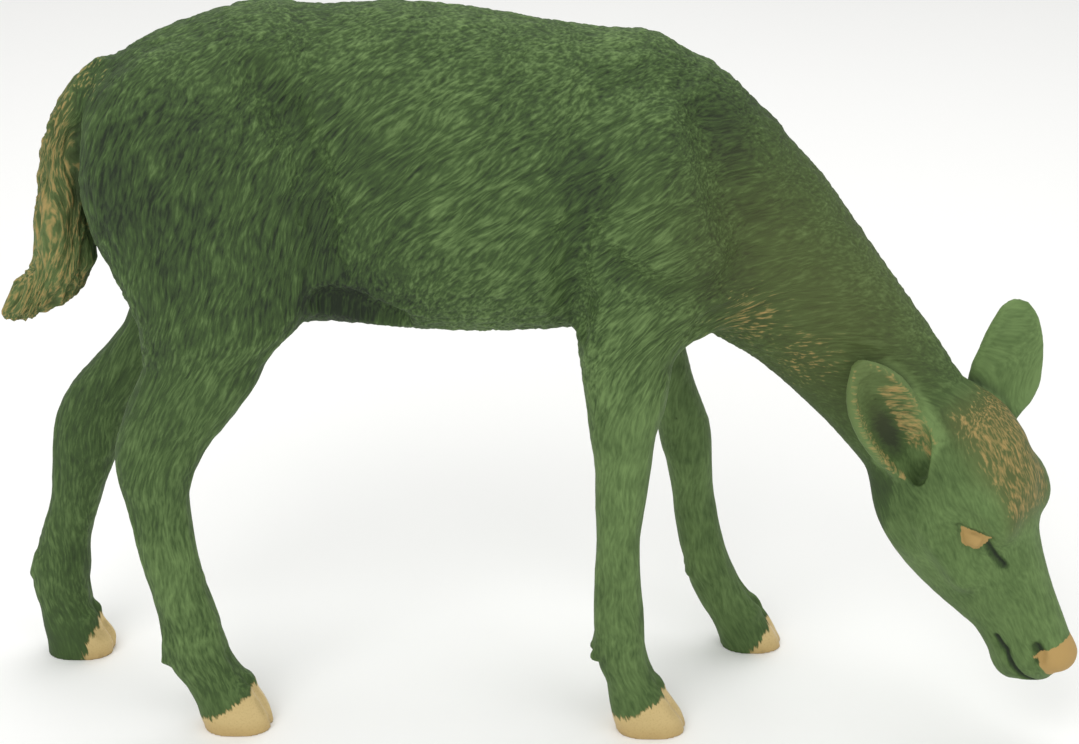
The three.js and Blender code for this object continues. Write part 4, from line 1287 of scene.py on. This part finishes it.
        # Thick gold is bright, metallic and satin, and thin gold is darker and matt
        worn = add_node(
            tree, "ShaderNodeMapRange", {"From Min": 0.3, "From Max": 0.5, "To Min": 0.7},
            {"Value": noise["grain"]},
        )
        rich = add_node(
            tree, "ShaderNodeMath", {"operation": "MULTIPLY"}, {0: worn, 1: value["rich"]}
        )
        rich = add_node(tree, "ShaderNodeMath", {"operation": "MULTIPLY"}, {0: rich, 1: solid})
        gilding = add_node(
            tree, "ShaderNodeMix",
            {"data_type": "RGBA", 6: paint.gold_dark, 7: paint.gold}, {0: rich},
        )
        colour = add_node(
            tree, "ShaderNodeMix", {"data_type": "RGBA"}, {0: gold, 6: green, 7: gilding}
        )
        metal = add_node(
            tree, "ShaderNodeMath", {"operation": "MULTIPLY", 1: METAL_SHARE}, {0: rich}
        )
        rough = add_node(
            tree, "ShaderNodeMapRange", {"To Min": MATT, "To Max": SATIN}, {"Value": rich}
        )

        # The finest hairs are only in the shading, as deep as the coat is carved there
        carve = add_node(
            tree, "ShaderNodeMath", {"operation": "MULTIPLY"},
            {0: noise["hairs"], 1: value["nap"]},
        )
        bump = add_node(
            tree, "ShaderNodeBump", {"Strength": 0.8, "Distance": HAIR_RELIEF}, {"Height": carve}
        )
        for socket, source in (
            ("Base Color", colour.outputs[2]), ("Metallic", metal.outputs[0]),
            ("Roughness", rough.outputs[0]), ("Normal", bump.outputs[0]),
        ):
            tree.links.new(source, shader.inputs[socket])
        shader.inputs["Specular IOR Level"].default_value = 0.3
        return {"FINISHED"}


class DEER_OT_stage(bpy.types.Operator):
    """Sets the floor, the light and the camera"""

    bl_idname = "deer.stage"
    bl_label = "Set the Stage"

    def execute(self, context):
        stage = context.scene.deer_stage
        scene = context.scene
        floor_mesh = bpy.data.meshes.new("floor")
        corners = [(-1, -1), (1, -1), (1, 1), (-1, 1)]
        floor_mesh.from_pydata(
            [(FLOOR_HALF * x, FLOOR_HALF * y, 0) for x, y in corners], [], [(0, 1, 2, 3)]
        )
        floor = bpy.data.objects.new("floor", floor_mesh)
        scene.collection.objects.link(floor)
        # Uncoated studio paper: it gives the eye a pale, even ground with no gloss
        paper = bpy.data.materials.new("Matt paper")
        paper.use_nodes = True
        base = paper.node_tree.nodes["Principled BSDF"]
        base.inputs["Base Color"].default_value = stage.floor
        base.inputs["Roughness"].default_value = 0.9
        floor_mesh.materials.append(paper)
        world = bpy.data.worlds.new("Soft room")
        world.use_nodes = True
        sky = world.node_tree.nodes["Background"]
        sky.inputs["Color"].default_value = (1, 1, 1, 1)
        sky.inputs["Strength"].default_value = 0.75
        scene.world = world
        for name, place, size, power in LAMPS:
            light = bpy.data.lights.new(name, "AREA")
            light.energy, light.size = power, size
            lamp = bpy.data.objects.new(name, light)
            lamp.location = place
            aim = Vector((0, 0, 0.2)) - lamp.location
            lamp.rotation_euler = aim.to_track_quat("-Z", "Y").to_euler()
            scene.collection.objects.link(lamp)
        lens = bpy.data.cameras.new("camera")
        lens.sensor_width = 36
        lens.lens = stage.lens
        lens.clip_start = 0.01
        camera = bpy.data.objects.new("camera", lens)
        camera.location = (0.0044, -stage.distance, stage.eye_height)
        camera.rotation_euler = (math.radians(90) - stage.tilt, 0, 0)
        scene.collection.objects.link(camera)
        scene.camera = camera
        scene.view_settings.view_transform = "Standard"
        return {"FINISHED"}


class DEER_PT_panel(bpy.types.Panel):
    bl_idname = "DEER_PT_panel"
    bl_label = "Grazing Deer"
    bl_space_type = "VIEW_3D"
    bl_region_type = "UI"
    bl_category = "Deer"

    def draw(self, context):
        layout = self.layout
        for step in STEPS:
            layout.operator(step.bl_idname)
        for name in GROUPS:
            group = getattr(context.scene, name)
            box = layout.box()
            for prop in group.__annotations__:
                box.prop(group, prop)


STEPS = (DEER_OT_body, DEER_OT_paint, DEER_OT_coat, DEER_OT_stage)
GROUPS = {
    "deer_shape": DeerShape, "deer_coat": DeerCoat, "deer_paint": DeerPaint,
    "deer_stage": DeerStage,
}


def register():
    for kind in (*GROUPS.values(), *STEPS, DEER_PT_panel):
        bpy.utils.register_class(kind)
    for name, kind in GROUPS.items():
        setattr(bpy.types.Scene, name, bpy.props.PointerProperty(type=kind))


def unregister():
    for name in GROUPS:
        delattr(bpy.types.Scene, name)
    for kind in reversed((*GROUPS.values(), *STEPS, DEER_PT_panel)):
        bpy.utils.unregister_class(kind)


def main():
    register()
    bpy.ops.deer.body()
    bpy.ops.deer.paint()
    bpy.ops.deer.coat()
    bpy.ops.deer.stage()


if __name__ == "__main__":
    main()
